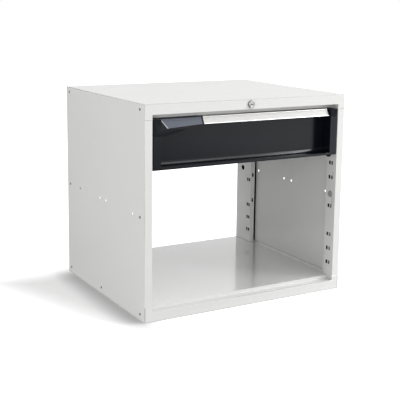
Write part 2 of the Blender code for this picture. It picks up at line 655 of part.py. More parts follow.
def build_lock():
    """Cam lock: ringed barrel, nut, turning plug, cam and its screw."""
    ring = LOCK_RING_DIAMETER / 2
    plug = LOCK_PLUG_DIAMETER / 2
    head = LOCK_PLUG_HEAD_DIAMETER / 2
    head_back = LOCK_PLUG_HEAD_DEPTH - LOCK_PROUD
    bodies = [
        lock_rod(-LOCK_PROUD, -LOCK_PROUD / 2, ring - LOCK_PROUD / 4, ring),
        lock_rod(-LOCK_PROUD / 2, -SEAT, ring),
        lock_rod(-LOCK_PROUD / 3, LOCK_BARREL_LENGTH, LOCK_BARREL_DIAMETER / 2),
    ]
    bores = [
        lock_rod(-LOCK_PROUD - OVERRUN, LOCK_BARREL_LENGTH + OVERRUN, plug + SEAT),
        lock_rod(-LOCK_PROUD - OVERRUN, head_back + SEAT, head + SEAT),
    ]
    solid("lock_barrel", CHROME, bodies, bores, smooth=True)

    nut_front = SHEET + SEAT
    nut_back = nut_front + LOCK_NUT_THICKNESS
    corner = LOCK_NUT_WIDTH / 2 / math.cos(math.pi / HEX_SIDES)
    nut = lock_rod(nut_front, nut_back, corner, sides=HEX_SIDES)
    thread = lock_rod(nut_front - OVERRUN, nut_back + OVERRUN, LOCK_BARREL_DIAMETER / 2 + SEAT)
    solid("lock_nut", ZINC, [nut], [thread])

    pivot = (0, FRONT, LOCK_HEIGHT)
    bodies = [
        lock_rod(LOCK_PLUG_SINK - LOCK_PROUD, head_back, head),
        lock_rod(head_back - OVERRUN, LOCK_BARREL_LENGTH, plug),
        lock_box(LOCK_SQUARE, LOCK_SQUARE, (CAM_FRONT - OVERRUN, CAM_BACK)),
    ]
    key_front = FRONT + LOCK_PLUG_SINK - LOCK_PROUD
    screw_end = CAM_BACK - CAM_SCREW_LENGTH
    cuts = [
        lock_box(KEY_SLOT_LENGTH, KEY_SLOT_WIDTH, (key_front - OVERRUN, key_front + KEY_SLOT_DEPTH)),
        cam_rod(0, screw_end - SEAT, CAM_BACK + OVERRUN, CAM_SCREW_DIAMETER / 2 + SEAT, SCREW_SIDES),
    ]
    plug_body = solid("lock_plug", CHROME, bodies, cuts, pivot=pivot, smooth=True)

    reach = CAM_LENGTH - CAM_WIDTH / 2
    half_cam = CAM_WIDTH / 2
    bodies = [
        cam_rod(0, CAM_FRONT, CAM_BACK, half_cam),
        box((0, reach), (CAM_FRONT, CAM_BACK), (LOCK_HEIGHT - half_cam, LOCK_HEIGHT + half_cam)),
        cam_rod(reach, CAM_FRONT, CAM_BACK, half_cam),
    ]
    hole = LOCK_SQUARE + 2 * SEAT
    square = lock_box(hole, hole, (CAM_FRONT - OVERRUN, CAM_BACK + OVERRUN))
    cam = solid("lock_cam", ZINC, bodies, [square], pivot=pivot)

    head_front = CAM_BACK + SEAT
    head_back = head_front + CAM_SCREW_HEAD_THICKNESS
    bodies = [
        cam_rod(0, head_front, head_back, CAM_SCREW_HEAD_DIAMETER / 2, SCREW_SIDES),
        cam_rod(0, screw_end, (head_front + head_back) / 2, CAM_SCREW_DIAMETER / 2, SCREW_SIDES),
    ]
    screw = solid("cam_screw", ZINC, bodies, pivot=pivot)
    for piece in (cam, screw):
        piece.parent = plug_body
        piece.location = (0, 0, 0)


def track(sign, web, reach, y):
    """A channel along Y that rollers run in: a web at one x pair and two flanges out to reach."""
    low = RUNNER_HEIGHT - TRACK_HALF
    high = RUNNER_HEIGHT + TRACK_HALF
    flange_x = across(sign, web[0], reach)
    return [
        box(across(sign, *web), y, (low - RAIL_SHEET, high + RAIL_SHEET)),
        box(flange_x, y, (low - RAIL_SHEET, low)),
        box(flange_x, y, (high, high + RAIL_SHEET)),
    ]


def build_cabinet_rail(name, sign):
    """Fixed rail on the posts, hooked into two slots of each."""
    web = (CABINET_RAIL_OUT, CABINET_RAIL_IN)
    reach = MID_RAIL_OUT + ROLLER_INNER_PLAY / 2
    bodies = track(sign, web, reach, (CABINET_RAIL_FRONT, CABINET_RAIL_BACK))
    half = HOOK_SIZE / 2
    lobe = (SLOT_BRIDGE + SLOT_WIDTH) / 2
    for y in (FRONT + FRONT_SLOT_FROM_FRONT + lobe, BACK - REAR_SLOT_FROM_BACK + lobe):
        plate = HOOK_SIZE / 2 + HOOK_PLATE_MARGIN
        rows = [slot_height(share) for share in HOOK_ROW_SHARES]
        bodies.append(box(across(sign, *web), (y - plate, y + plate), (min(rows) - plate, max(rows) + plate)))
        hook_x = across(sign, CABINET_RAIL_IN, OPENING_HALF + HOOK_REACH)
        bodies += [box(hook_x, (y - half, y + half), (z - half, z + half)) for z in rows]
    solid(f"{name}_cabinet_rail", ZINC, bodies)


def build_rail_clip(name, sign):
    """Rounded stop clip under the front end of the fixed rail, just showing below the drawer."""
    top = RUNNER_HEIGHT - TRACK_HALF - RAIL_SHEET - SEAT
    bottom = DRAWER_BOTTOM - CLIP_DROP
    radius = CLIP_DEPTH / 2 * CLIP_ROUND_SHARE
    front = CABINET_RAIL_FRONT + SEAT
    back = front + CLIP_DEPTH
    outer = CABINET_RAIL_IN - SEAT
    middle = (front + back) / 2
    foot = [
        (middle + radius * math.cos(turn), bottom + radius + radius * math.sin(turn))
        for turn in (math.pi * (1 + step / ARC_STEPS) for step in range(ARC_STEPS + 1))
    ]
    outline = [(front, DRAWER_BOTTOM), *foot, (back, DRAWER_BOTTOM), (back, top), (front, top)]
    clip_x = across(sign, outer - CLIP_WIDTH, outer)
    solid(f"{name}_rail_clip", DARK_PLASTIC, [prism(outline, clip_x, ALONG_X)])


def roller_places():
    """Where the four rollers of a runner sit: the side of the middle rail and their y."""
    reach = ROLLER_REACH
    return {
        "outer_front": ("outer", CABINET_RAIL_FRONT + reach + TRAVEL / 2),
        "outer_back": ("outer", MID_RAIL_BACK - reach),
        "inner_front": ("inner", MID_RAIL_FRONT + reach),
        "inner_back": ("inner", DRAWER_RAIL_BACK - TRAVEL / 2 - reach),
    }


def roller_span(place):
    """The x pair of a roller on the outer or the inner side of the middle rail."""
    if place == "outer":
        start = MID_RAIL_OUT + ROLLER_INNER_PLAY
        return start, start + ROLLER_WIDTH
    start = MID_RAIL_IN - ROLLER_INNER_PLAY
    return start, start - ROLLER_WIDTH


def build_middle_rail(name, sign):
    """Flat middle rail with a pin for each roller, which slides half as far as the drawer."""
    mover = frame(f"{name}_middle")
    z = (RUNNER_HEIGHT - MID_RAIL_HEIGHT / 2, RUNNER_HEIGHT + MID_RAIL_HEIGHT / 2)
    bodies = [box(across(sign, MID_RAIL_IN, MID_RAIL_OUT), (MID_RAIL_FRONT, MID_RAIL_BACK), z)]
    middle = (MID_RAIL_IN + MID_RAIL_OUT) / 2
    for place, y in roller_places().values():
        pin_end = roller_span(place)[1]
        bodies.append(side_rod(sign, y, RUNNER_HEIGHT, middle, pin_end, ROLLER_PIN_DIAMETER / 2))
    solid(f"{name}_middle_rail", ZINC, bodies, parent=mover)
    for label, (place, y) in roller_places().items():
        start, end = roller_span(place)
        centre = (sign * (start + end) / 2, y, RUNNER_HEIGHT)
        past_end = end + math.copysign(OVERRUN, end - start)
        wheel = side_rod(sign, y, RUNNER_HEIGHT, start, end, ROLLER_RADIUS, sides=ROUND_SIDES)
        bore = side_rod(sign, y, RUNNER_HEIGHT, middle, past_end, ROLLER_PIN_DIAMETER / 2 + SEAT)
        solid(f"{name}_roller_{label}", WHITE_NYLON, [wheel], [bore], parent=mover, pivot=centre, smooth=True)


def build_drawer_rail(name, sign, drawer):
    """Channel on the drawer's side that runs on the inner rollers."""
    web = (DRAWER_RAIL_OUT, DRAWER_RAIL_IN)
    bodies = track(sign, web, MID_RAIL_IN - ROLLER_INNER_PLAY / 2, (DRAWER_RAIL_FRONT, DRAWER_RAIL_BACK))
    solid(f"{name}_drawer_rail", ZINC, bodies, parent=drawer)


def front_section():
    """The drawer front's outline between its strips, (y, z): panel, ramp, ledge and lip, one sheet thick."""
    face = FRONT
    recess = FRONT + RECESS_DEPTH
    ledge = DRAWER_BOTTOM + LIP_FACE
    foot = recess - RAMP_SIZE
    mitre = SHEET * math.tan(BEND_ANGLE / 2)
    flange = recess - PANEL_FLANGE
    return [
        (face, DRAWER_BOTTOM),
        (face, ledge),
        (foot, ledge),
        (recess, ledge + RAMP_SIZE),
        (recess, PANEL_TOP - SHEET),
        (flange, PANEL_TOP - SHEET),
        (flange, PANEL_TOP),
        (PANEL_BACK, PANEL_TOP),
        (PANEL_BACK, ledge + RAMP_SIZE - mitre),
        (foot + mitre, ledge - SHEET),
        (face + SHEET, ledge - SHEET),
        (face + SHEET, DRAWER_BOTTOM),
    ]


def cap_seam(name):
    """The height where the cap on that side ends and the steel strip begins."""
    return DRAWER_TOP - {"left": LEFT_CAP_HEIGHT, "right": RIGHT_CAP_HEIGHT}[name]


def build_drawer_front(drawer):
    """Steel front: a panel set back between two hollow strips, with a ramp, ledge and lip below."""
    bodies = [prism(front_section(), (-STRIP_IN - SHEET / 2, STRIP_IN + SHEET / 2), ALONG_X)]
    cuts = []
    for name, sign in SIDES.items():
        full = (DRAWER_BOTTOM, PANEL_TOP)
        strip_x = across(sign, STRIP_IN, DRAWER_HALF)
        return_y = (FRONT, FRONT + STRIP_RETURN)
        bodies += [
            box(across(sign, STRIP_IN, STRIP_IN + SHEET), (FRONT, PANEL_BACK), full),
            box(strip_x, (FRONT, FRONT + SHEET), full),
            box(across(sign, DRAWER_HALF - SHEET, DRAWER_HALF), return_y, full),
            box(strip_x, return_y, (DRAWER_BOTTOM, DRAWER_BOTTOM + SHEET)),
        ]
        cuts.append(
            box(
                across(sign, STRIP_IN - OVERRUN, DRAWER_HALF + OVERRUN),
                (FRONT - OVERRUN, FRONT + CAP_FRONT + SEAT),
                (cap_seam(name) - SEAT, DRAWER_TOP),
            )
        )
    solid("drawer_front", DARK_COAT, bodies, cuts, parent=drawer)


def build_tub(drawer):
    """Drawer tray: floor and hemmed side walls in one sheet, and a separate back."""
    y = (TUB_FRONT, TUB_BACK)
    wall_z = (TUB_BOTTOM, TUB_TOP)
    bodies = [box((-TUB_HALF, TUB_HALF), y, (TUB_BOTTOM, TUB_BOTTOM + TUB_SHEET))]
    for sign in SIDES.values():
        bodies.append(box(across(sign, TUB_HALF - TUB_SHEET, TUB_HALF), y, wall_z))
        bodies.append(box(across(sign, TUB_HALF - TUB_HEM, TUB_HALF), y, (TUB_TOP - TUB_SHEET, TUB_TOP)))
    solid("drawer_tub", DARK_COAT, bodies, parent=drawer)

    inside = TUB_HALF - TUB_SHEET - SEAT
    low = TUB_BOTTOM + TUB_SHEET + SEAT
    high = TUB_TOP - TUB_SHEET - SEAT
    bodies = [
        box((-inside, inside), (TUB_BACK - TUB_SHEET, TUB_BACK), (low, high)),
        box((-inside, inside), (TUB_BACK - TUB_HEM, TUB_BACK), (high - TUB_SHEET, high)),
    ]
    solid("drawer_back", DARK_COAT, bodies, parent=drawer)


def slant_slab(x, up, out):
    """A slab on the handle's slanted face: up the face from its lower edge, and out of it."""
    body = box(x, (-out[0], -out[1]), up)
    bmesh.ops.transform(body, matrix=SLANT, verts=body.verts)
    return body


def build_handle(drawer):
    """Aluminium handle rail with a label card behind a clear cover in its slanted face."""
    x = (HANDLE_LEFT + SEAT, HANDLE_RIGHT - SEAT)
    wall = (-HANDLE_CHANNEL, -HANDLE_CHANNEL - HANDLE_WALL)
    top = (DRAWER_TOP - HANDLE_PLATE, DRAWER_TOP)
    plate_back = PANEL_BACK - SHEET - SEAT
    bodies = [
        slant_slab(x, (0, HANDLE_FACE), wall),
        slant_slab(x, (0, HANDLE_BEAD), (0, wall[1])),
        slant_slab(x, (HANDLE_FACE - HANDLE_BEAD, HANDLE_FACE), (0, wall[1])),
        box(x, (FRONT + HANDLE_NOSE + HANDLE_SETBACK, plate_back), top),
    ]
    slot = cam_slot((top[0] - OVERRUN, top[1] + OVERRUN), LOCK_HEIGHT - top[1])
    above_x = (x[0] - OVERRUN, x[1] + OVERRUN)
    above = box(above_x, (FRONT, plate_back + OVERRUN), (DRAWER_TOP, DRAWER_TOP + HANDLE_BEAD))
    solid("handle_rail", ALUMINIUM, bodies, [slot, above], parent=drawer)

    channel = (HANDLE_BEAD + SEAT, HANDLE_FACE - HANDLE_BEAD - SEAT)
    card_front = LABEL_COVER + SEAT
    card = slant_slab(x, channel, (-card_front, -card_front - LABEL_CARD))
    cover = slant_slab(x, channel, (0, -LABEL_COVER))
    solid("label_card", WHITE_CARD, [card], parent=drawer)
    solid("label_cover", CLEAR_PLASTIC, [cover], parent=drawer)


def wing_outline():
    """The left cap's wing seen from the front, (x, z): its lower edge sweeps up to the handle rail."""
    start, end = -STRIP_IN - SHEET, HANDLE_LEFT
    low, high = cap_seam("left"), HANDLE_BOTTOM
    sweep = []
    for step in range(CURVE_STEPS + 1):
        share = step / CURVE_STEPS
        rise = (1 - math.cos(math.pi * share)) / 2
        sweep.append((-STRIP_IN + LEFT_CAP_WING * share, low + (high - low) * rise))
    return [(start, DRAWER_TOP), (start, low), *sweep, (end, DRAWER_TOP)]


def build_caps(drawer):
    """Plastic caps that close the strips' tops and carry the ends of the handle rail."""
    depth = (FRONT, FRONT + CAP_DEPTH)
    wings = {
        "left": prism(wing_outline(), depth, ALONG_Y),
        "right": box((HANDLE_RIGHT, STRIP_IN + SHEET), depth, (cap_seam("right"), DRAWER_TOP)),
    }
    face_sink = {"left": TAG_THICKNESS + SEAT, "right": HANDLE_CHANNEL}
    wing_end = {"left": HANDLE_LEFT + OVERRUN, "right": HANDLE_RIGHT - OVERRUN}
    for name, sign in SIDES.items():
        strip_x = across(sign, STRIP_IN, DRAWER_HALF)
        bodies = [
            wings[name],
            box(strip_x, (FRONT, FRONT + CAP_FRONT), (cap_seam(name), DRAWER_TOP)),
            box(strip_x, depth, (PANEL_TOP + SEAT, DRAWER_TOP)),
        ]
        wing_x = (sign * STRIP_IN, wing_end[name])
        front_cut = slant_slab(wing_x, (-HANDLE_FACE, 2 * HANDLE_FACE), (-face_sink[name], HANDLE_FACE))
        wall_cut = box(
            across(sign, STRIP_IN - SEAT, STRIP_IN + SHEET + SEAT),
            (FRONT + CAP_FRONT, PANEL_BACK),
            (DRAWER_BOTTOM, PANEL_TOP + SEAT),
        )
        solid(f"{name}_handle_cap", DARK_PLASTIC, bodies, [front_cut, wall_cut], parent=drawer)


def build_name_tag(drawer):
    """Bare slanted plate on the left cap, in line with the handle's face."""
    top = HANDLE_FACE - TAG_TOP_DROP
    left = -STRIP_IN + TAG_FROM_STRIP
    right = HANDLE_LEFT - TAG_END_GAP
    outline = [
        (left, top),
        (left + TAG_SLANT, top - TAG_LEFT_HEIGHT),
        (right, top - TAG_RIGHT_HEIGHT),
        (right, top),
    ]
    solid("name_tag", SLATE_PLASTIC, [prism(outline, (0, TAG_THICKNESS), SLANT @ ALONG_Y)], parent=drawer)


def main():
    """Clears the scene and builds every sub-part."""
    for item in list(bpy.data.objects):
        bpy.data.objects.remove(item)
    build_top_tray()
    build_bottom_tray()
    build_base_frame()
    drawer = frame("drawer")
    for name, sign in SIDES.items():
        build_side_panel(name, sign)
        build_front_post(name, sign)
        build_rear_post(name, sign)
        build_post_plug(name, sign)
        build_side_screws(name, sign)
        build_cabinet_rail(name, sign)
        build_rail_clip(name, sign)
        build_middle_rail(name, sign)
        build_drawer_rail(name, sign, drawer)
    build_lock()
    build_drawer_front(drawer)
    build_tub(drawer)
    build_handle(drawer)
    build_caps(drawer)
    build_name_tag(drawer)


main()
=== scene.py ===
"""Looks of the storage cabinet: rounded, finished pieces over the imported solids, and a pale studio."""

import functools
import json
import logging
import math
from collections.abc import Callable, Iterable, Sequence
from dataclasses import dataclass, replace
from enum import Enum

import bmesh
import bpy
from mathutils import Matrix, Quaternion, Vector


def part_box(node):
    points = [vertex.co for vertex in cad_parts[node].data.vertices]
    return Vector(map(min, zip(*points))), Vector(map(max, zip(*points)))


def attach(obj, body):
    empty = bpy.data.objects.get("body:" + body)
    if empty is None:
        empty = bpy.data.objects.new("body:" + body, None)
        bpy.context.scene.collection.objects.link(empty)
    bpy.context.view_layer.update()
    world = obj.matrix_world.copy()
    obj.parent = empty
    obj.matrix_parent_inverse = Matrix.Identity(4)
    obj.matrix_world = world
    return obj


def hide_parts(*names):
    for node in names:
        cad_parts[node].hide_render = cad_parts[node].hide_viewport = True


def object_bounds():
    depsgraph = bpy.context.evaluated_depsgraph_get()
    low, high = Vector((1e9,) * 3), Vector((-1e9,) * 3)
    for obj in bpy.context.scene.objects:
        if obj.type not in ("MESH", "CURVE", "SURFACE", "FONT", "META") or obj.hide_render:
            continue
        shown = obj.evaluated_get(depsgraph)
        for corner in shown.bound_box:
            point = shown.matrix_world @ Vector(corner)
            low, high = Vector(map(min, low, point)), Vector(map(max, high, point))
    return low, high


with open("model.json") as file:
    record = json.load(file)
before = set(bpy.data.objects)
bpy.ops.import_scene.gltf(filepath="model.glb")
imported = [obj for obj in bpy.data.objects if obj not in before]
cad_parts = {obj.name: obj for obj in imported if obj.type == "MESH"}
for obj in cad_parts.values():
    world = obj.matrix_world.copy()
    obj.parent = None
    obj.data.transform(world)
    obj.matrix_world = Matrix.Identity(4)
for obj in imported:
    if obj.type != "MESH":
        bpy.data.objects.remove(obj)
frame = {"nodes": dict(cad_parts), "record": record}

CAD_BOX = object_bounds()
BODY_OF = {node: body for body, nodes in frame["record"]["behaviour"]["bodies"].items() for node in nodes}
LOG = logging.getLogger("cabinet")

MM = 0.001
MERGE = 0.002 * MM  # Corners closer than this are one.
SNAP = 0.01 * MM  # Edges whose levels are closer than this lie in one plane.
CLEAR = 1 * MM  # A ruled line keeps this far from corners where it can.
CROSSINGS = (0.5, 0.4, 0.6, 0.3, 0.7, 0.2, 0.8)  # Where a line may cross an opening, the best place first.
PROBES = (0.05, 0.5, 0.95)  # Where the room beside an edge is measured, as shares of its length.
ROOM_SHARE = 2.2  # How many times its rounding the faces beside an edge measure at least.
BORDER_SHARE = 5  # How many times its folds' radius inside a sheet's box its border lines run.
FLAT_TURN = math.radians(0.5)  # Faces that turn by less are one flat face.
SHARP_TURN = math.radians(30)  # Edges that turn by more are rounded.
SHADE_TURN = math.radians(50)  # Edges that turn by more stay crisp in the shading.
SAME_WAY = 0.99  # Normals whose dot product is larger point the same way.
ASKEW = 0.1  # Normals whose dot product is smaller are square to each other or more.
X_AXIS = Vector((1, 0, 0))
Y_AXIS = Vector((0, 1, 0))
Z_AXIS = Vector((0, 0, 1))

Colour = tuple[float, float, float]
Point = tuple[float, float, float]
Pair = tuple[float, float]
Sockets = dict[str | int, object]


class Side(Enum):
    """The cabinet's two sides, by the sign of their x."""

    LEFT = -1
    RIGHT = 1

    @property
    def word(self) -> str:
        """The word that names of this side's nodes start with."""
        return self.name.lower()


class Signal:
    """An output socket of a shader node, which arithmetic can be written with."""

    def __init__(self, recipe: "Recipe", socket: bpy.types.NodeSocket | None) -> None:
        """Keeps the socket and the recipe that it belongs to."""
        self.recipe = recipe
        self.socket = socket

    def maths(self, operation: str, first: "Signal | float", second: "Signal | float") -> "Signal":
        """The result of a Math node on two values."""
        return self.recipe.node("ShaderNodeMath", {"operation": operation}, {0: first, 1: second})

    def __add__(self, other: "Signal | float") -> "Signal":
        """This value plus the other."""
        return self.maths("ADD", self, other)

    def __radd__(self, other: float) -> "Signal":
        """The other value plus this."""
        return self.maths("ADD", other, self)

    def __sub__(self, other: "Signal | float") -> "Signal":
        """This value less the other."""
        return self.maths("SUBTRACT", self, other)

    def __rsub__(self, other: float) -> "Signal":
        """The other value less this."""
        return self.maths("SUBTRACT", other, self)

    def __mul__(self, other: "Signal | float") -> "Signal":
        """This value times the other."""
        return self.maths("MULTIPLY", self, other)

    def __rmul__(self, other: float) -> "Signal":
        """The other value times this."""
        return self.maths("MULTIPLY", other, self)

    def __truediv__(self, other: "Signal | float") -> "Signal":
        """This value over the other."""
        return self.maths("DIVIDE", self, other)

    def __rtruediv__(self, other: float) -> "Signal":
        """The other value over this."""
        return self.maths("DIVIDE", other, self)

    def higher(self, other: "Signal | float") -> "Signal":
        """The larger of this value and the other."""
        return self.maths("MAXIMUM", self, other)

    def size(self) -> "Signal":
        """This value without its sign."""
        return self.maths("ABSOLUTE", self, 0)

    def between(self, low: float, high: float) -> "Signal":
        """A smooth step of this value, from 0 at the lower one to 1 at the higher one."""
        sockets = {"Value": self, "From Min": low, "From Max": high}
        return self.recipe.node("ShaderNodeMapRange", {"interpolation_type": "SMOOTHSTEP", "clamp": True}, sockets)

    def inside(self, low: float, high: float, edge: float = 0.3 * MM) -> "Signal":
        """1 between two values, with a soft edge that reaches this far to both sides of them."""
        return self.between(low - edge, low + edge) * (1 - self.between(high - edge, high + edge))


class Recipe:
    """A node tree in the making."""

    def __init__(self, tree: bpy.types.NodeTree) -> None:
        """Starts from an empty tree."""
        self.tree = tree
        tree.nodes.clear()

    def node(
        self,
        kind: str,
        settings: dict[str, object] | None = None,
        sockets: Sockets | None = None,
        output: str | int = 0,
    ) -> Signal:
        """Makes one node.

        Args:
            kind: The node's type.
            settings: The node's own settings, which are made first.
            sockets: A value or a link for each input.
            output: The output that is used.

        Returns:
            That output.
        """
        made = self.tree.nodes.new(kind)
        for name, setting in (settings or {}).items():
            setattr(made, name, setting)
        for name, value in (sockets or {}).items():
            self.plug(made.inputs[name], value)
        return Signal(self, made.outputs[output] if len(made.outputs) else None)

    def plug(self, socket: bpy.types.NodeSocket, value: object) -> None:
        """Fills an input.

        Args:
            socket: The input.
            value: A signal, which is linked to it, or a plain value, which is written on it.
        """
        if isinstance(value, Signal):
            self.tree.links.new(value.socket, socket)
        elif isinstance(value, tuple) and socket.type == "RGBA":
            socket.default_value = (*value, 1)
        else:
            socket.default_value = value

    def mix(self, factor: Signal, first: Signal | Colour, second: Signal | Colour) -> Signal:
        """A colour between two, by how much of the second one shows."""
        return self.node("ShaderNodeMix", {"data_type": "RGBA"}, {0: factor, 6: first, 7: second}, output=2)

    def point(self) -> Signal:
        """Where a point lies on the object, in metres."""
        return self.node("ShaderNodeTexCoord", output="Object")

    def place(self, stretch: Point = (1, 1, 1), turn: Point = (0, 0, 0)) -> Signal:
        """A point's place for a texture, this many times finer along each axis and turned round it."""
        return self.node("ShaderNodeMapping", sockets={"Vector": self.point(), "Scale": stretch, "Rotation": turn})

    def coordinate(self, axis: str) -> Signal:
        """Where a point lies along one axis of the object, in metres."""
        return self.node("ShaderNodeSeparateXYZ", sockets={0: self.point()}, output=axis)

    def within(self, low: Point, high: Point) -> Signal:
        """1 inside a box of the object's space."""
        across, along, up = (self.coordinate(axis).inside(*ends) for axis, *ends in zip("XYZ", low, high))
        return across * along * up

    def noise(self, size: float, detail: float = 2, stretch: Point = (1, 1, 1)) -> Signal:
        """A soft random pattern round 0.5, with blotches of this size before they are stretched."""
        sockets = {"Vector": self.place(stretch), "Scale": 1 / size, "Detail": detail}
        return self.node("ShaderNodeTexNoise", sockets=sockets)

    def near(self, spot: Point, reach: float) -> Signal:
        """A round spot that is 1 at its middle and 0 from its reach on."""
        sockets = {0: self.point(), 1: spot}
        return 1 - self.node("ShaderNodeVectorMath", {"operation": "DISTANCE"}, sockets, "Value").between(0, reach)

    def bump(self, height: Signal) -> Signal:
        """The normals of a relief whose height is in metres."""
        return self.node("ShaderNodeBump", sockets={"Height": height, "Strength": 1, "Distance": 1})


@dataclass(frozen=True)
class Finish:
    """What all finishes share.

    Args:
        name: The material's name.
        colour: The surface's linear colour.
        roughness: The roughness round which the surface varies.
        swing: The shares of itself that the colour gains at the two ends of the pattern that tints it.
        gloss_swing: How much the roughness changes from one end of its pattern to the other.
    """

    name: str
    colour: Colour
    roughness: float
    swing: Pair = (0, 0)
    gloss_swing: float = 0

    @functools.cache
    def material(self) -> bpy.types.Material:
        """Makes the finish's material, once.

        Returns:
            The material.
        """
        made = bpy.data.materials.new(self.name)
        made.use_nodes = True
        recipe = Recipe(made.node_tree)
        shader = recipe.node("ShaderNodeBsdfPrincipled", sockets=self.shader(recipe))
        recipe.node("ShaderNodeOutputMaterial", sockets={"Surface": shader})
        return made

    def shader(self, recipe: Recipe) -> Sockets:
        """What goes into the shader's sockets, which each kind of finish says."""
        raise NotImplementedError

    def tint(self, share: float) -> Colour:
        """The colour, lighter or darker by a share of itself."""
        return tuple(part * (1 + share) for part in self.colour)

    def tinted(self, recipe: Recipe, pattern: Signal) -> Signal:
        """The colour as it swings with a pattern from 0 to 1."""
        return recipe.mix(pattern, *(self.tint(share) for share in self.swing))

    def gloss(self, pattern: Signal) -> Signal:
        """The roughness as it swings with a pattern round 0.5."""
        return self.roughness + (pattern - 0.5) * self.gloss_swing


@dataclass(frozen=True)
class PowderCoat(Finish):
    """Baked powder coat on sheet steel: fine orange peel, faint unevenness and shallow weld marks.

    Args:
        cloud: The size of the slow unevenness.
        peel: The size of the orange peel.
        peel_depth: Its depth.
        specular: The coat's specular level.
        coat: How much of a clear layer lies on it.
        coat_roughness: That layer's roughness.
        coat_ior: That layer's index of refraction.
        weld_marks: Where spot welds leave a shallow dimple.
        weld_reach: A dimple's radius.
        weld_depth: A dimple's depth.
        hollows: The lowest and highest y of each post cavity or seam where shade is painted on the coat.
        hollow_x: How far from the cabinet's middle those stretches of painted shade start and end.
        bare: The colour of the painted shade there, where the clear layer is also taken away.
    """

    swing: Pair = (-0.012, 0.012)
    gloss_swing: float = 0.10
    cloud: float = 160 * MM
    peel: float = 1.6 * MM
    peel_depth: float = 0.006 * MM
    specular: float = 0.35
    coat: float = 0
    coat_roughness: float = 0.1
    coat_ior: float = 1.5
    weld_marks: tuple[Point, ...] = ()
    weld_reach: float = 5 * MM
    weld_depth: float = 0.35 * MM
    hollows: tuple[Pair, ...] = ()
    hollow_x: Pair = (0.3342, 0.3576)
    bare: Colour = (0.02, 0.02, 0.021)

    def shader(self, recipe: Recipe) -> Sockets:
        """Says what goes into the coat's sockets.

        Args:
            recipe: The material's node tree.

        Returns:
            A value or a link for each socket.
        """
        cloud = recipe.noise(self.cloud, 3)
        fleck = recipe.noise(self.peel / 2, 1)
        height = recipe.noise(self.peel, 2) * self.peel_depth
        for spot in self.weld_marks:
            height = height - recipe.near(spot, self.weld_reach) * self.weld_depth
        powder = self.tinted(recipe, (cloud * 2 + fleck) / 3)
        layer = self.coat
        # Painted shade in the posts' cavities and along seams, with the clear layer's sheen taken away there.
        if self.hollows:
            painted_shade = self.in_hollow(recipe)
            powder = recipe.mix(painted_shade, powder, self.bare)
            layer = (1 - painted_shade) * self.coat if self.coat else 0
        return {
            "Base Color": powder,
            "Roughness": self.gloss(cloud),
            "Coat Weight": layer,
            "Coat Roughness": self.coat_roughness,
            "Coat IOR": self.coat_ior,
            "Specular IOR Level": self.specular,
            "Normal": recipe.bump(height),
        }

    def in_hollow(self, recipe: Recipe) -> Signal:
        """Finds where shade is painted on the coat: in the posts' cavities and along seams.

        Args:
            recipe: The material's node tree.

        Returns:
            1 there, and 0 elsewhere.
        """
        across, along = (recipe.coordinate(axis) for axis in "XY")
        found = [along.inside(low, high) for low, high in self.hollows]
        return across.size().inside(*self.hollow_x) * functools.reduce(Signal.higher, found)


@dataclass(frozen=True)
class MouldedPlastic(Finish):
    """Moulded plastic with an eroded grain.

    Args:
        grain: The size of the grain.
        grain_depth: Its depth.
        flow: The size of the streaks in its colour.
        specular: Its specular level.
        lattice: The pitch of a raised diamond lattice on a plug's face, or 0 for none.
        lattice_depth: The depth of that lattice.
    """

    swing: Pair = (-0.06, 0.06)
    gloss_swing: float = 0.16
    grain: float = 0.7 * MM
    grain_depth: float = 0.01 * MM
    flow: float = 30 * MM
    specular: float = 0.4
    lattice: float = 0
    lattice_depth: float = 0.25 * MM

    def shader(self, recipe: Recipe) -> Sockets:
        """Says what goes into the plastic's sockets.

        Args:
            recipe: The material's node tree.

        Returns:
            A value or a link for each socket.
        """
        grain = recipe.noise(self.grain, 3)
        height = grain * self.grain_depth
        if self.lattice:
            height = height + self.ridges(recipe) * self.lattice_depth
        return {
            "Base Color": self.tinted(recipe, recipe.noise(self.flow, 2, (1, 1, 3))),
            "Roughness": self.gloss(grain),
            "Specular IOR Level": self.specular,
            "Normal": recipe.bump(height),
        }

    def ridges(self, recipe: Recipe) -> Signal:
        """Lays two sets of ridges across each other in the plane of y and z.

        Args:
            recipe: The material's node tree.

        Returns:
            The ridges' height, from 0 to 1.
        """
        waves = []
        for turn in (math.pi / 4, -math.pi / 4):
            settings = {"wave_type": "BANDS", "bands_direction": "Y"}
            sockets = {"Vector": recipe.place(turn=(turn, 0, 0)), "Scale": math.tau / (20 * self.lattice)}
            waves.append(recipe.node("ShaderNodeTexWave", settings, sockets, output="Fac"))
        return waves[0].higher(waves[1])


@dataclass(frozen=True)
class EdgedPlastic(MouldedPlastic):
    """Moulded plastic with a painted highlight along one straight edge in the plane of x and z.

    Args:
        start: The x and z of the edge's upper left end.
        end: The x and z of its lower right end.
        band: How far from the edge the painted highlight starts to fade, and where it ends.
        band_colour: The painted highlight's colour.
    """

    start: Pair = (0, 0)
    end: Pair = (1, 0)
    band: Pair = (2.34 * MM, 2.6 * MM)
    band_colour: Colour = (0.46, 0.47, 0.5)

    def shader(self, recipe: Recipe) -> Sockets:
        """Says what goes into the plastic's sockets.

        Args:
            recipe: The material's node tree.

        Returns:
            A value or a link for each socket.
        """
        sockets = super().shader(recipe)
        length = math.dist(self.start, self.end)
        right, down = self.end[0] - self.start[0], self.start[1] - self.end[1]
        from_edge = (recipe.coordinate("X") - self.start[0]) * (down / length)
        from_edge = from_edge + (recipe.coordinate("Z") - self.start[1]) * (right / length)
        # Paints a highlight along the edge, where the colour lightens.
        band = 1 - from_edge.between(*self.band)
        sockets["Base Color"] = recipe.mix(band, sockets["Base Color"], self.band_colour)
        return sockets


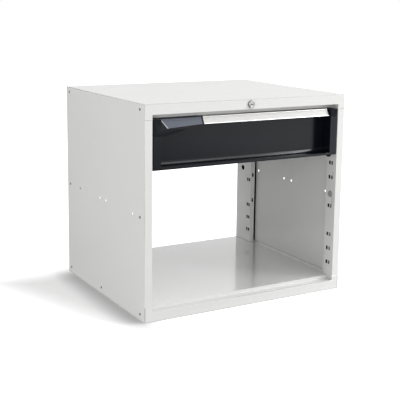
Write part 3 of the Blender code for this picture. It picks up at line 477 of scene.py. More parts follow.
@dataclass(frozen=True)
class DrawnMetal(Finish):
    """Metal with long fine lines along one axis, as extruded and anodised aluminium has.

    Args:
        lines: The width of the lines.
        stretch: How many times finer the pattern is along each axis.
        line_depth: The depth of the lines.
        haze: The size of a faint haze in the gloss.
        haze_swing: How much it changes the roughness.
    """

    swing: Pair = (-0.05, 0.05)
    gloss_swing: float = 0.14
    lines: float = 0.5 * MM
    stretch: Point = (0.008, 1, 1)
    line_depth: float = 0.004 * MM
    haze: float = 40 * MM
    haze_swing: float = 0.06

    def shader(self, recipe: Recipe) -> Sockets:
        """Says what goes into the metal's sockets.

        Args:
            recipe: The material's node tree.

        Returns:
            A value or a link for each socket.
        """
        lines = recipe.noise(self.lines, 3, self.stretch)
        return {
            "Base Color": self.tinted(recipe, lines),
            "Metallic": 1.0,
            "Roughness": self.gloss(lines) + (recipe.noise(self.haze) - 0.5) * self.haze_swing,
            "Normal": recipe.bump(lines * self.line_depth),
        }


@dataclass(frozen=True)
class ZincPlate(Finish):
    """Zinc on steel, in small crystals of slightly different greys.

    Args:
        crystal: The size of the crystals.
        film: The size of the plating's unevenness.
        film_swing: How much it changes the roughness.
        film_depth: Its depth.
    """

    swing: Pair = (-0.16, 0.16)
    gloss_swing: float = 0.14
    crystal: float = 5 * MM
    film: float = 25 * MM
    film_swing: float = 0.1
    film_depth: float = 0.02 * MM

    def shader(self, recipe: Recipe) -> Sockets:
        """Says what goes into the plating's sockets.

        Args:
            recipe: The material's node tree.

        Returns:
            A value or a link for each socket.
        """
        sockets = {"Vector": recipe.place(), "Scale": 1 / self.crystal, "Randomness": 1}
        cells = recipe.node("ShaderNodeTexVoronoi", {"feature": "F1"}, sockets, output="Color")
        pick = recipe.node("ShaderNodeSeparateColor", sockets={0: cells})
        film = recipe.noise(self.film, 3)
        return {
            "Base Color": self.tinted(recipe, pick),
            "Metallic": 1.0,
            "Roughness": self.gloss(pick) + (film - 0.5) * self.film_swing,
            "Normal": recipe.bump(film * self.film_depth),
        }


@dataclass(frozen=True)
class Polished(Finish):
    """Bright or blackened turned metal with a trace of handling marks.

    Args:
        smear: The size of the marks.
        smear_depth: Their depth.
        pocket: The lowest and highest corner of a box where shade is painted on the metal, or none.
        pocket_shade: How much darker the painted shade makes the metal there.
    """

    swing: Pair = (0, -0.06)
    gloss_swing: float = 0.12
    smear: float = 3 * MM
    smear_depth: float = 0.01 * MM
    pocket: tuple[Point, Point] | None = None
    pocket_shade: float = 0.97

    def shader(self, recipe: Recipe) -> Sockets:
        """Says what goes into the metal's sockets.

        Args:
            recipe: The material's node tree.

        Returns:
            A value or a link for each socket.
        """
        smear = recipe.noise(self.smear, 4)
        metal = self.tinted(recipe, smear)
        # Painted shade in a box, such as on the side of the lock's ring or inside the key slot.
        if self.pocket:
            metal = recipe.mix(recipe.within(*self.pocket), metal, self.tint(-self.pocket_shade))
        return {
            "Base Color": metal,
            "Metallic": 1.0,
            "Roughness": self.gloss(smear),
            "Normal": recipe.bump(smear * self.smear_depth),
        }


@dataclass(frozen=True)
class SheetStock(Finish):
    """Card or clear film, with a faint fibre or ripple.

    Args:
        ripple: The size of the fibre or ripple.
        detail: How many finer layers it has.
        stretch: How many times finer it is along each axis.
        ripple_depth: Its depth.
        alpha: How much of the surface is seen.
    """

    ripple: float = 1.2 * MM
    detail: float = 4
    stretch: Point = (0.25, 1, 1)
    ripple_depth: float = 0.01 * MM
    alpha: float = 1

    def shader(self, recipe: Recipe) -> Sockets:
        """Says what goes into the sheet's sockets.

        Args:
            recipe: The material's node tree.

        Returns:
            A value or a link for each socket.
        """
        ripple = recipe.noise(self.ripple, self.detail, self.stretch)
        return {
            "Base Color": self.tinted(recipe, ripple),
            "Roughness": self.gloss(ripple),
            "Alpha": self.alpha,
            "Normal": recipe.bump(ripple * self.ripple_depth),
        }


SIDE_FACE = 0.3585
WELDS = ((-0.252, 0.610), (-0.256, 0.0395), (0.163, 0.575))
# The rear posts' cavity in y, where shade is painted on the coat.
REAR_SHADE_SPAN = (0.2060, 0.3020)
# Boxes where shade is painted on the lock: the ring's side and the inside of the key slot.
RING_SIDE_SHADE = ((-0.0130, -0.3020, 0.6200), (0.0130, -0.2972, 0.6500))
KEY_SLOT_SHADE = ((-0.0046, -0.3050, 0.6332), (0.0046, -0.2980, 0.6358))

LIGHT_COAT = PowderCoat("light_powder_coat", (0.70, 0.70, 0.69), 0.2, specular=0.5)
# The floor plate, with shade painted along its seams by the side panels.
PLATE_COAT = replace(
    LIGHT_COAT,
    name="floor_plate_powder_coat",
    colour=(0.77, 0.77, 0.76),
    coat=1.0,
    coat_ior=2.1,
    hollows=((-0.2970, 0.3030),),
    hollow_x=(0.3553, 0.3580),
    bare=(0.12, 0.12, 0.12),
)
# Posts and side panels, with shade painted in the cavities behind the posts' slots.
POST_COAT = replace(LIGHT_COAT, name="post_powder_coat", hollows=((-0.2960, -0.2480), REAR_SHADE_SPAN))
SIDE_COATS = {
    side: replace(
        POST_COAT,
        name=f"{side.word}_side_powder_coat",
        hollows=((-0.2960, -0.2466), REAR_SHADE_SPAN),
        weld_marks=tuple((side.value * SIDE_FACE, *weld) for weld in WELDS),
    )
    for side in Side
}
DARK_COAT = PowderCoat("dark_powder_coat", (0.0038, 0.0050, 0.0090), 0.2, (-0.05, 0.05), specular=0.33)
BLACK_PLASTIC = MouldedPlastic("black_plastic", (0.005, 0.0058, 0.0085), 0.5, specular=0.14)
# The tag, with a highlight painted along its slanted left edge.
SLATE_PLASTIC = EdgedPlastic(
    "slate_plastic",
    (0.080, 0.091, 0.121),
    0.34,
    grain_depth=0.006 * MM,
    specular=0.28,
    start=(-0.3030, 0.6038),
    end=(-0.2845, 0.5770),
)
PLUG_PLASTIC = MouldedPlastic("plug_plastic", (0.30, 0.30, 0.31), 0.5, lattice=2.6 * MM)
NYLON = MouldedPlastic("white_nylon", (0.82, 0.81, 0.77), 0.42, (-0.02, 0.02))
ALUMINIUM = DrawnMetal("anodised_aluminium", (0.60, 0.60, 0.59), 0.3, line_depth=0.0015 * MM)
ZINC = ZincPlate("zinc_plate", (0.62, 0.63, 0.65), 0.38)
# The lock's ring and plug, with shade painted on the ring's side and in the key slot.
NICKEL = Polished("satin_nickel", (0.60, 0.59, 0.58), 0.28, pocket=RING_SIDE_SHADE, pocket_shade=0.75)
CHROME = Polished("chrome_plate", (0.66, 0.65, 0.63), 0.24, pocket=KEY_SLOT_SHADE)
BLACK_OXIDE = Polished("black_oxide", (0.008, 0.008, 0.009), 0.4, (0, -0.3))
LABEL_CARD = SheetStock("coated_label_card", (0.77, 0.765, 0.75), 0.34, (-0.02, 0.01), 0.1)
CLEAR_COVER = SheetStock(
    "clear_cover",
    (0.62, 0.62, 0.61),
    0.25,
    (-0.02, 0),
    0.04,
    ripple=35 * MM,
    detail=1,
    stretch=(0.4, 1, 1),
    ripple_depth=0.04 * MM,
    alpha=0.16,
)


def span(verts: Iterable[bmesh.types.BMVert]) -> tuple[Vector, Vector]:
    """The lowest and highest corner of the box round some vertices."""
    corners = [vert.co for vert in verts]
    return tuple(Vector(end(corner[axis] for corner in corners) for axis in range(3)) for end in (min, max))


def lies_at(edge: bmesh.types.BMEdge, axis: int, level: float) -> bool:
    """True for an edge whose ends both lie at a level of an axis."""
    return all(abs(vert.co[axis] - level) < MERGE for vert in edge.verts)


def middle(node: str) -> Vector:
    """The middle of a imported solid's box."""
    low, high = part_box(node)
    return (Vector(low) + Vector(high)) / 2


def length_of(node: str, axis: int = 1) -> float:
    """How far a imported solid's box reaches along an axis, which is Y where none is named."""
    low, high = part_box(node)
    return high[axis] - low[axis]


class Shape:
    """A mesh in the making, with the steps that the cabinet's pieces share."""

    def __init__(self) -> None:
        """Starts from an empty mesh."""
        self.mesh = bmesh.new()

    @classmethod
    def of_node(cls, node: str, border: float = 0) -> "Shape":
        """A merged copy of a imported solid, its flat faces whole again but for a few straight lines.

        Args:
            node: The solid's name.
            border: How far inside the solid's box a border line runs, or 0 for none.

        Returns:
            The copy, which can be edited.
        """
        shape = cls()
        mesh = shape.mesh
        mesh.from_mesh(frame["nodes"][node].data)
        bmesh.ops.remove_doubles(mesh, verts=mesh.verts, dist=MERGE)
        bmesh.ops.dissolve_limit(mesh, angle_limit=FLAT_TURN, verts=mesh.verts, edges=mesh.edges)
        mesh.normal_update()
        low, high = span(mesh.verts)
        levels = shape.middles_of_openings()
        for axis in range(3):
            if border and high[axis] - low[axis] > 4 * border:
                levels |= {(axis, low[axis] + border), (axis, high[axis] - border)}
        shape.rule(sorted(levels))
        return shape

    def middles_of_openings(self) -> set[tuple[int, float]]:
        """Finds the openings in the flat faces.

        Returns:
            An axis and a level on it, for a line through each opening that keeps clear of corners.
        """
        planes: dict[tuple[int, int], list[bmesh.types.BMEdge]] = {}
        for edge in self.mesh.edges:
            for axis in range(3):
                level = edge.verts[0].co[axis]
                if lies_at(edge, axis, level) and edge.calc_face_angle(0) >= SHARP_TURN / 2:
                    planes.setdefault((axis, round(level / SNAP)), []).append(edge)
        bends = {vert for edges in planes.values() for edge in edges for vert in edge.verts}
        corners = [sorted({vert.co[axis] for vert in bends}) for axis in range(3)]
        levels: set[tuple[int, float]] = set()
        for (axis, _), edges in sorted(planes.items()):
            rims = sorted(self.rims(edges), key=lambda rim: ((rim[0] - rim[1]).length, *rim[0], *rim[1]))
            for low, high in rims[:-1]:
                if sum(high[other] - low[other] > CLEAR for other in range(3)) < 2:
                    continue
                for other in {0, 1, 2} - {axis}:
                    if any(low[other] < level < high[other] for used, level in levels if used == other):
                        continue
                    places = [low[other] + share * (high[other] - low[other]) for share in CROSSINGS]
                    free = [min(CLEAR, *(abs(place - level) for level in corners[other])) for place in places]
                    levels.add((other, places[free.index(max(free))]))
        return levels

    @staticmethod
    def rims(edges: Iterable[bmesh.types.BMEdge]) -> list[tuple[Vector, Vector]]:
        """Sorts edges into those that hang together.

        Args:
            edges: Edges in one plane.

        Returns:
            The lowest and highest corner of each group.
        """
        left = set(edges)
        boxes = []
        while left:
            group, front = [], [left.pop()]
            while front:
                edge = front.pop()
                group.append(edge)
                touching = {other for vert in edge.verts for other in vert.link_edges} & left
                left -= touching
                front += touching
            boxes.append(span(vert for edge in group for vert in edge.verts))
        return boxes

    def cut(self, point: Vector, across: Vector, snap: float) -> None:
        """Cuts the faces along a plane through a point, and snaps to corners that are this close."""
        everything = [*self.mesh.verts, *self.mesh.edges, *self.mesh.faces]
        bmesh.ops.bisect_plane(self.mesh, geom=everything, dist=snap, plane_co=point, plane_no=across)

    def rule(self, levels: Sequence[tuple[int, float]]) -> None:
        """Rules straight lines across the flat faces, and takes all their other lines away.

        Args:
            levels: An axis and a level on it, for each line.
        """
        for axis, level in levels:
            across = (X_AXIS, Y_AXIS, Z_AXIS)[axis]
            self.cut(across * level, across, MERGE / 2)
        stray = [
            edge
            for edge in self.mesh.edges
            if edge.calc_face_angle(1) < FLAT_TURN and not any(lies_at(edge, *line) for line in levels)
        ]
        bmesh.ops.dissolve_edges(self.mesh, edges=stray, use_verts=True)
        self.mesh.normal_update()

    @classmethod
    def turned(cls, profile: Sequence[Pair], steps: int = 48, closed: bool = False) -> "Shape":
        """A body turned round the Y axis, as on a lathe.

        Args:
            profile: Pairs of a radius and a y along the body.
            steps: How many steps the turn has.
            closed: True for a ring, whose profile returns to its start.

        Returns:
            The turned body.
        """
        shape = cls()
        mesh = shape.mesh
        verts = [mesh.verts.new((radius, y, 0)) for radius, y in profile]
        pairs = list(zip(verts, verts[1:]))
        if closed:
            pairs.append((verts[-1], verts[0]))
        geom = verts + [mesh.edges.new(pair) for pair in pairs]
        bmesh.ops.spin(mesh, geom=geom, cent=(0, 0, 0), axis=Y_AXIS, angle=math.tau, steps=steps, use_merge=True)
        bmesh.ops.remove_doubles(mesh, verts=mesh.verts, dist=MERGE)
        bmesh.ops.recalc_face_normals(mesh, faces=mesh.faces)
        return shape

    def sink_socket(self, outline: Callable[[float], Pair], depth: float) -> "Shape":
        """Closes the open front of a turned body with a face that has a socket in it.

        Args:
            outline: Gives the socket's x and z at an angle.
            depth: How deep the socket goes along Y.

        Returns:
            This shape.
        """
        mesh = self.mesh
        rim = [edge for edge in mesh.edges if edge.is_boundary]
        front = rim[0].verts[0].co.y
        hole = bmesh.ops.create_circle(mesh, cap_ends=False, radius=1, segments=len(rim))["verts"]
        for vert in hole:
            x, z = outline(math.atan2(vert.co.y, vert.co.x))
            vert.co = (x, front, z)
        edges = list(dict.fromkeys(edge for vert in hole for edge in vert.link_edges))
        bmesh.ops.bridge_loops(mesh, edges=rim + edges)
        wall = bmesh.ops.extrude_edge_only(mesh, edges=edges)["geom"]
        floor = [item for item in wall if isinstance(item, bmesh.types.BMVert)]
        bmesh.ops.translate(mesh, verts=floor, vec=(0, depth, 0))
        bmesh.ops.contextual_create(mesh, geom=[item for item in wall if isinstance(item, bmesh.types.BMEdge)])
        bmesh.ops.recalc_face_normals(mesh, faces=mesh.faces)
        return self

    @staticmethod
    def room(edge: bmesh.types.BMEdge) -> float:
        """How far both faces of an edge reach from it before they end.

        Args:
            edge: The edge.

        Returns:
            The shorter reach, at a few places along the edge.
        """
        reaches = [math.inf]
        for loop in edge.link_loops:
            start, end = loop.vert.co, loop.link_loop_next.vert.co
            along = (end - start).normalized()
            inward = loop.face.normal.cross(along)
            ends = [other for other in loop.face.edges if other is not edge and other.calc_face_angle(1) > FLAT_TURN]
            for point in (start.lerp(end, share) for share in PROBES):
                for other in ends:
                    first, second = (vert.co - point for vert in other.verts)
                    before, after = first.dot(along), second.dot(along)
                    if before * after < 0:
                        reach = first.lerp(second, before / (before - after)).dot(inward)
                        reaches.append(reach if reach > 0 else math.inf)
        return min(reaches)

    def round_edges(
        self,
        width: float,
        segments: int = 2,
        at_least: float = 0,
        pick: Callable[[bmesh.types.BMEdge], bool] | None = None,
        sharp: float = SHARP_TURN,
        room_share: float = ROOM_SHARE,
    ) -> "Shape":
        """Rounds sharp edges whose faces have room for it.

        Args:
            width: How far the rounding reaches from an edge.
            segments: How many faces it has.
            at_least: The shortest edge that is rounded.
            pick: Says which of the sharp edges are rounded.
            sharp: The turn from which an edge counts as sharp.
            room_share: How many times the width the faces beside an edge must measure.

        Returns:
            This shape.
        """
        edges = [
            edge
            for edge in self.mesh.edges
            if edge.is_manifold
            and edge.calc_face_angle() > sharp
            and edge.calc_length() > at_least
            and (pick is None or pick(edge))
            and self.room(edge) > room_share * width
        ]
        bmesh.ops.bevel(
            self.mesh,
            geom=edges,
            offset=width,
            offset_type="OFFSET",
            segments=segments,
            profile=0.5,
            affect="EDGES",
            clamp_overlap=False,
            material=-1,
        )
        return self

    def round_folds(self, width: float, segments: int = 3) -> "Shape":
        """Rounds the folds at the outside of the mesh's own box.

        Args:
            width: The folds' outer radius.
            segments: How many faces a fold has.

        Returns:
            This shape.
        """
        box = span(self.mesh.verts)

        def outside(edge: bmesh.types.BMEdge) -> bool:
            """True for an edge that lies in two sides of the box."""
            return sum(lies_at(edge, axis, corner[axis]) for axis in range(3) for corner in box) > 1

        return self.round_edges(width, segments, pick=outside)

    def moved(self, matrix: Matrix) -> "Shape":
        """Moves the mesh to its place."""
        bmesh.ops.transform(self.mesh, matrix=matrix, verts=self.mesh.verts)
        return self

    def finished(self, node: str, finish: Finish) -> None:
        """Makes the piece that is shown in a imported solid's place.

        Args:
            node: The solid that the piece stands for.
            finish: The piece's finish.
        """
        for face in self.mesh.faces:
            face.smooth = True
        for edge in self.mesh.edges:
            edge.smooth = edge.is_manifold and edge.calc_face_angle() < SHADE_TURN
        data = bpy.data.meshes.new(f"{node}_finished")
        self.mesh.to_mesh(data)
        self.mesh.free()
        stale = data.attributes.get("custom_normal")
        if stale:
            data.attributes.remove(stale)
        data.materials.append(finish.material())
        piece = bpy.data.objects.new(data.name, data)
        bpy.context.scene.collection.objects.link(piece)
        piece.modifiers.new("even_shading", "WEIGHTED_NORMAL").keep_sharp = True
        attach(piece, BODY_OF[node])
        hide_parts(node)
        LOG.info("%s: %d faces in %s", piece.name, len(data.polygons), finish.name)


def soften(node: str, finish: Finish, width: float, segments: int = 1, at_least: float = 0) -> None:
    """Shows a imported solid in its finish, with its sharp edges rounded."""
    Shape.of_node(node).round_edges(width, segments, at_least).finished(node, finish)


def fold_sheet(node: str, finish: Finish, fold: float, rim: float) -> None:
    """Shows a folded sheet in its finish, with its folds and its cut edges rounded."""
    shape = Shape.of_node(node, BORDER_SHARE * fold).round_folds(fold)
    shape.round_edges(rim, 1).finished(node, finish)


def repaint(node: str, finish: Finish) -> None:
    """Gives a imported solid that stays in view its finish.

    Args:
        node: The solid's name.
        finish: Its finish.
    """
    kept = frame["nodes"][node]
    kept.data.materials.clear()
    kept.data.materials.append(finish.material())
    LOG.info("%s: kept, in %s", node, finish.name)


def stadium(width: float, length: float) -> Callable[[float], Pair]:
    """The outline of a slot with round ends, along X.

    Args:
        width: The slot's width.
        length: Its length.

    Returns:
        What gives x and z at an angle.
    """

    def outline(turn: float) -> Pair:
        """The outline's point at this angle."""
        run = math.copysign((length - width) / 2, math.cos(turn))
        return run + width / 2 * math.cos(turn), width / 2 * math.sin(turn)

    return outline


def hexagon(across: float) -> Callable[[float], Pair]:
    """The outline of a six-sided socket.

    Args:
        across: Its width across flats.

    Returns:
        What gives x and z at an angle.
    """
    sixth = math.tau / 6

    def outline(turn: float) -> Pair:
        """The outline's point at this angle."""
        radius = across / 2 / math.cos(turn % sixth - sixth / 2)
        return radius * math.cos(turn), radius * math.sin(turn)

    return outline


@dataclass
class Carcass:
    """The sheet-steel body: trays, base frame, side panels, posts, their screws and plugs.

    Args:
        fold: The outer radius of the sheets' folds.
        rim: The rounding of the sheets' cut edges and of the screws' heads.
        head: A side screw's head, across.
        head_depth: How deep its countersunk head goes.
        shank: Its shank, across.
        screw_length: Its whole length.
        hex_width: Its socket, across flats.
        hex_depth: The socket's depth.
        plug_face: A post plug's face, across.
        plug_curve: How far inside its rim and how far behind its front that dished face runs.
        plug_flange: How thick its flange is.
        plug_lip: How far the flange stands out from the stem.
        plug_wall: How thick the stem's wall is.
        plug_floor: How thick the plug is behind its flange.
    """

    fold: float = 1 * MM
    rim: float = 0.25 * MM
    head: float = 8.4 * MM
    head_depth: float = 1.5 * MM
    shank: float = 5 * MM
    screw_length: float = 11 * MM
    hex_width: float = 3 * MM
    hex_depth: float = 1.6 * MM
    plug_face: float = 22 * MM
    plug_curve: tuple[Pair, ...] = ((3 * MM, 0.4 * MM), (2.4 * MM, 0.05 * MM), (0.5 * MM, 0), (0, 0.5 * MM))
    plug_flange: float = 1.2 * MM
    plug_lip: float = 1.8 * MM
    plug_wall: float = 1.5 * MM
    plug_floor: float = 0.8 * MM

    def build(self) -> None:
        """Builds every piece of the carcass."""
        for node, coat in (("top_tray", LIGHT_COAT), ("bottom_tray", PLATE_COAT), ("base_frame", LIGHT_COAT)):
            fold_sheet(node, coat, self.fold, self.rim)
        for side in Side:
            for part, coat in (("side_panel", SIDE_COATS[side]), ("front_post", POST_COAT), ("rear_post", POST_COAT)):
                fold_sheet(f"{side.word}_{part}", coat, self.fold, self.rim)
            self.plug(side)
            for node in frame["nodes"]:
                if node.startswith(f"{side.word}_screw"):
                    self.screw(node, side)

    def screw(self, node: str, side: Side) -> None:
        """Turns a countersunk screw with a six-sided socket.

        Args:
            node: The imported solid.
            side: The side whose panel it holds.
        """
        place = middle(node)
        place.x = side.value * max(abs(corner[0]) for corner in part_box(node))
        head, shank, tip = self.head / 2, self.shank / 2, self.screw_length
        profile = [(head - self.rim, 0), (head, self.rim), (shank, self.head_depth)]
        profile += [(shank, tip - 2 * self.rim), (shank - 2 * self.rim, tip), (0, tip)]
        turn = Matrix.Rotation(side.value * math.radians(90), 4, "Z")
        shape = Shape.turned(profile, 24).sink_socket(hexagon(self.hex_width), self.hex_depth)
        shape.moved(Matrix.Translation(place) @ turn).finished(node, BLACK_OXIDE)

    def plug(self, side: Side) -> None:
        """Turns the plug that closes a front post's round hole.

        Args:
            side: The post's side.
        """
        node = f"{side.word}_post_plug"
        place = middle(node)
        place.x = side.value * min(abs(corner[0]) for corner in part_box(node))
        rim, flange, length = self.plug_face / 2, self.plug_flange, length_of(node, 0)
        stem = rim - self.plug_lip
        bore, floor = stem - self.plug_wall, flange + self.plug_floor
        profile = [(0, self.plug_curve[0][1]), *((rim - inside, behind) for inside, behind in self.plug_curve)]
        profile += [(rim, flange), (stem, flange), (stem, length), (bore, length), (bore, floor), (0, floor)]
        turn = Matrix.Rotation(-side.value * math.radians(90), 4, "Z")
        Shape.turned(profile, 40).moved(Matrix.Translation(place) @ turn).finished(node, PLUG_PLASTIC)


@dataclass
class CamLock:
    """The lock in the fascia: its ring and barrel, nut, plug, cam and cam screw.

    Args:
        ring: The ring, across.
        ring_curve: How far inside its rim and how far behind its front the ring's face runs.
        barrel: The barrel, across.
        mouth: The bore round the plug's head, across.
        mouth_depth: How deep that bore goes.
        mouth_edge: The chamfer round it.
        bore: The barrel's bore behind it, across.
        proud: How far the ring stands out of the fascia.
        ease: The chamfer behind the ring, and how far the ring stays off the fascia.
        pitch: The pitch of the barrel's thread.
        thread_depth: The thread's depth.
        chamfer: The chamfer at the barrel's end and round the plug's head.
        plug_head: The plug's head, across.
        head_depth: Where that head ends.
        plug_body: The plug behind its head, across.
        drive: The drive behind it, across.
        drive_length: The drive's length.
        tapping: The hole for the cam's screw, across.
        tapping_depth: That hole's depth.
        key_width: The key slot's width.
        key_length: Its length.
        key_depth: Its depth.
        nut_round: The rounding of the nut.
        cam_round: The rounding of the cam.
        cam_edge: The shortest edge of the cam that gets it.
        screw_inset: How far the cam screw's head stays inside its solid.
        screw_head: How thick that head is.
        screw_edge: The chamfer round it.
        screw_shank: The screw's shank, across.
        screw_slot: The width, length and depth of the slot in its head.
    """

    ring: float = 23 * MM
    ring_curve: tuple[Pair, ...] = ((1.8 * MM, 0), (0.9 * MM, 0.4 * MM), (0.2 * MM, 1.6 * MM), (0, 3 * MM))
    barrel: float = 17 * MM
    mouth: float = 14.6 * MM
    mouth_depth: float = 3.2 * MM
    mouth_edge: float = 0.7 * MM
    bore: float = 10.6 * MM
    proud: float = 6 * MM
    ease: float = 0.3 * MM
    pitch: float = 1 * MM
    thread_depth: float = 0.35 * MM
    chamfer: float = 0.4 * MM
    plug_head: float = 14 * MM
    head_depth: float = 2.3 * MM
    plug_body: float = 10 * MM
    drive: float = 6.2 * MM
    drive_length: float = 2.2 * MM
    tapping: float = 3.3 * MM
    tapping_depth: float = 4.5 * MM
    key_width: float = 2 * MM
    key_length: float = 8.5 * MM
    key_depth: float = 4 * MM
    nut_round: float = 0.5 * MM
    cam_round: float = 0.3 * MM
    cam_edge: float = 1 * MM
    screw_inset: float = 0.1 * MM
    screw_head: float = 1.9 * MM
    screw_edge: float = 0.5 * MM
    screw_shank: float = 3 * MM
    screw_slot: Point = (1 * MM, 6 * MM, 0.9 * MM)

    def build(self) -> None:
        """Builds every piece of the lock."""
        self.housing()
        self.plug()
        soften("lock_nut", ZINC, self.nut_round, 2)
        soften("lock_cam", ZINC, self.cam_round, 1, self.cam_edge)
        self.cam_screw()

    def place(self, node: str) -> Matrix:
        """The lock's axis, from the front of one of its nodes."""
        axis = middle("lock_barrel")
        return Matrix.Translation((axis.x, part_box(node)[0][1], axis.z))

    def housing(self) -> None:
        """Turns the ring and the threaded barrel in one piece."""
        length = length_of("lock_barrel")
        ring, barrel, mouth, bore = self.ring / 2, self.barrel / 2, self.mouth / 2, self.bore / 2
        seat = self.proud - self.ease
        profile = [(mouth, self.mouth_edge), (mouth + self.mouth_edge, 0)]
        profile += [(ring - inside, behind) for inside, behind in self.ring_curve]
        profile += [(ring, seat - self.ease), (ring - self.ease, seat), (barrel, seat)]
        turn = seat + self.pitch
        while turn < length - self.pitch:
            profile += [(barrel, turn), (barrel - self.thread_depth, turn + self.pitch / 2)]
            turn += self.pitch
        profile += [(barrel - self.chamfer, length), (bore, length)]
        profile += [(bore, self.mouth_depth), (mouth, self.mouth_depth)]
        Shape.turned(profile, 64, closed=True).moved(self.place("lock_barrel")).finished("lock_barrel", NICKEL)

    def plug(self) -> None:
        """Turns the plug, with its key slot in front and its drive behind."""
        length = length_of("lock_plug")
        head, body, drive, tapping = self.plug_head / 2, self.plug_body / 2, self.drive / 2, self.tapping / 2
        shoulder, bottom = length - self.drive_length, length - self.tapping_depth
        profile = [(head - self.chamfer, 0), (head, self.chamfer), (head, self.head_depth)]
        profile += [(body, self.head_depth), (body, shoulder), (drive, shoulder), (drive, length)]
        profile += [(tapping, length), (tapping, bottom), (0, bottom)]
        shape = Shape.turned(profile, 48).sink_socket(stadium(self.key_width, self.key_length), self.key_depth)
        shape.moved(self.place("lock_plug")).finished("lock_plug", CHROME)

    def cam_screw(self) -> None:
        """Turns the screw that holds the cam, with a round head and a driver slot behind."""
        length, shank = length_of("cam_screw"), self.screw_shank / 2
        head = length_of("cam_screw", 2) / 2 - self.screw_inset
        profile = [(head - self.screw_edge, 0), (head, self.screw_edge), (head, self.screw_head)]
        profile += [(shank, self.screw_head), (shank, length), (0, length)]
        back = Matrix.Translation((0, length, 0)) @ Matrix.Rotation(math.pi, 4, "Z")
        *slot, depth = self.screw_slot
        shape = Shape.turned(profile, 32).sink_socket(stadium(*slot), depth)
        shape.moved(self.place("cam_screw") @ back).finished("cam_screw", ZINC)


@dataclass
class Drawer:
    """The drawer: its front, tub and back, the handle rail with its label, the caps and the blank tag.

    Args:
        fold: The outer radius of the tub's folds.
        rim: The rounding of the sheets' cut edges.
        cover_rim: The rounding of the label's cover.
        cove: How far the fold above the ramp reaches.
        cove_room: How many times that the faces beside it measure at least.
        ramp_lean: How much of a ramp's normal points up and to the front, at least and at most.
        cap_round: The rounding of the plastic caps.
        rail_round: The rounding of the handle rail.
        tag_round: The bright bevel round the tag.
        tag_edge: The shortest edge that gets it.
        groove_drop: How far below the tag's top its groove runs.
        groove_width: The groove's width.
        groove_depth: Its depth.
        groove_slope: The width of its sloping sides.
    """

    fold: float = 1 * MM
    rim: float = 0.3 * MM
    cover_rim: float = 0.25 * MM
    cove: float = 6.4 * MM
    cove_room: float = 1.2
    ramp_lean: Pair = (0.1, 0.9)
    cap_round: float = 0.8 * MM
    rail_round: float = 0.5 * MM
    tag_round: float = 0.45 * MM
    tag_edge: float = 5 * MM
    groove_drop: float = 7 * MM
    groove_width: float = 0.7 * MM
    groove_depth: float = 0.35 * MM
    groove_slope: float = 0.12 * MM

    def build(self) -> None:
        """Builds every piece of the drawer."""
        self.front()
        fold_sheet("drawer_tub", DARK_COAT, self.fold, self.rim)
        soften("drawer_back", DARK_COAT, self.rim)
        soften("handle_rail", ALUMINIUM, self.rail_round, 2)
        for side in Side:
            soften(f"{side.word}_handle_cap", BLACK_PLASTIC, self.cap_round, 3)
        self.tag()
        repaint("label_card", LABEL_CARD)
        soften("label_cover", CLEAR_COVER, self.cover_rim)

    def front(self) -> None:
        """Rounds the front's folds, and most of all the one that leads to the ramp at the panel's foot."""
        shape = Shape.of_node("drawer_front")
        low, high = self.ramp_lean
        ramps = [face for face in shape.mesh.faces if low < face.normal.z < high and low < -face.normal.y < high]
        top = span(vert for face in ramps for vert in face.verts)[1].z
        folds = {edge for face in ramps for edge in face.edges if lies_at(edge, 2, top)}
        shape.round_edges(self.cove, 6, 0, lambda edge: edge in folds, SHARP_TURN / 2, self.cove_room)
        shape.round_edges(self.rim, 2).finished("drawer_front", DARK_COAT)

    def tag(self) -> None:
        """Bevels the blank tag and runs a groove along below its top."""
        shape = Shape.of_node("name_tag")
        face = max(shape.mesh.faces, key=lambda side: side.calc_area() * (side.normal.y < 0))
        outward = face.normal.copy()
        up = outward.cross(X_AXIS)
        up *= math.copysign(1, up.z)
        upper = max(vert.co.dot(up) for vert in face.verts) - self.groove_drop
        lower = upper - self.groove_width
        for level in (upper, lower):
            shape.cut(up * level, up, MERGE / 10)
        outer = [side for side in shape.mesh.faces if side.normal.dot(outward) > SAME_WAY]
        groove = [side for side in outer if lower < side.calc_center_median().dot(up) < upper]
        bmesh.ops.inset_region(shape.mesh, faces=groove, thickness=self.groove_slope, depth=-self.groove_depth)
        shape.round_edges(self.tag_round, 2, self.tag_edge, lambda edge: self.bounds_tag(edge, outward))
        shape.finished("name_tag", SLATE_PLASTIC)

    @staticmethod
    def bounds_tag(edge: bmesh.types.BMEdge, outward: Vector) -> bool:
        """True for an edge between the tag's face and one of its sides."""
        leans = sorted(face.normal.dot(outward) for face in edge.link_faces)
        return leans[0] < ASKEW and leans[1] > SAME_WAY


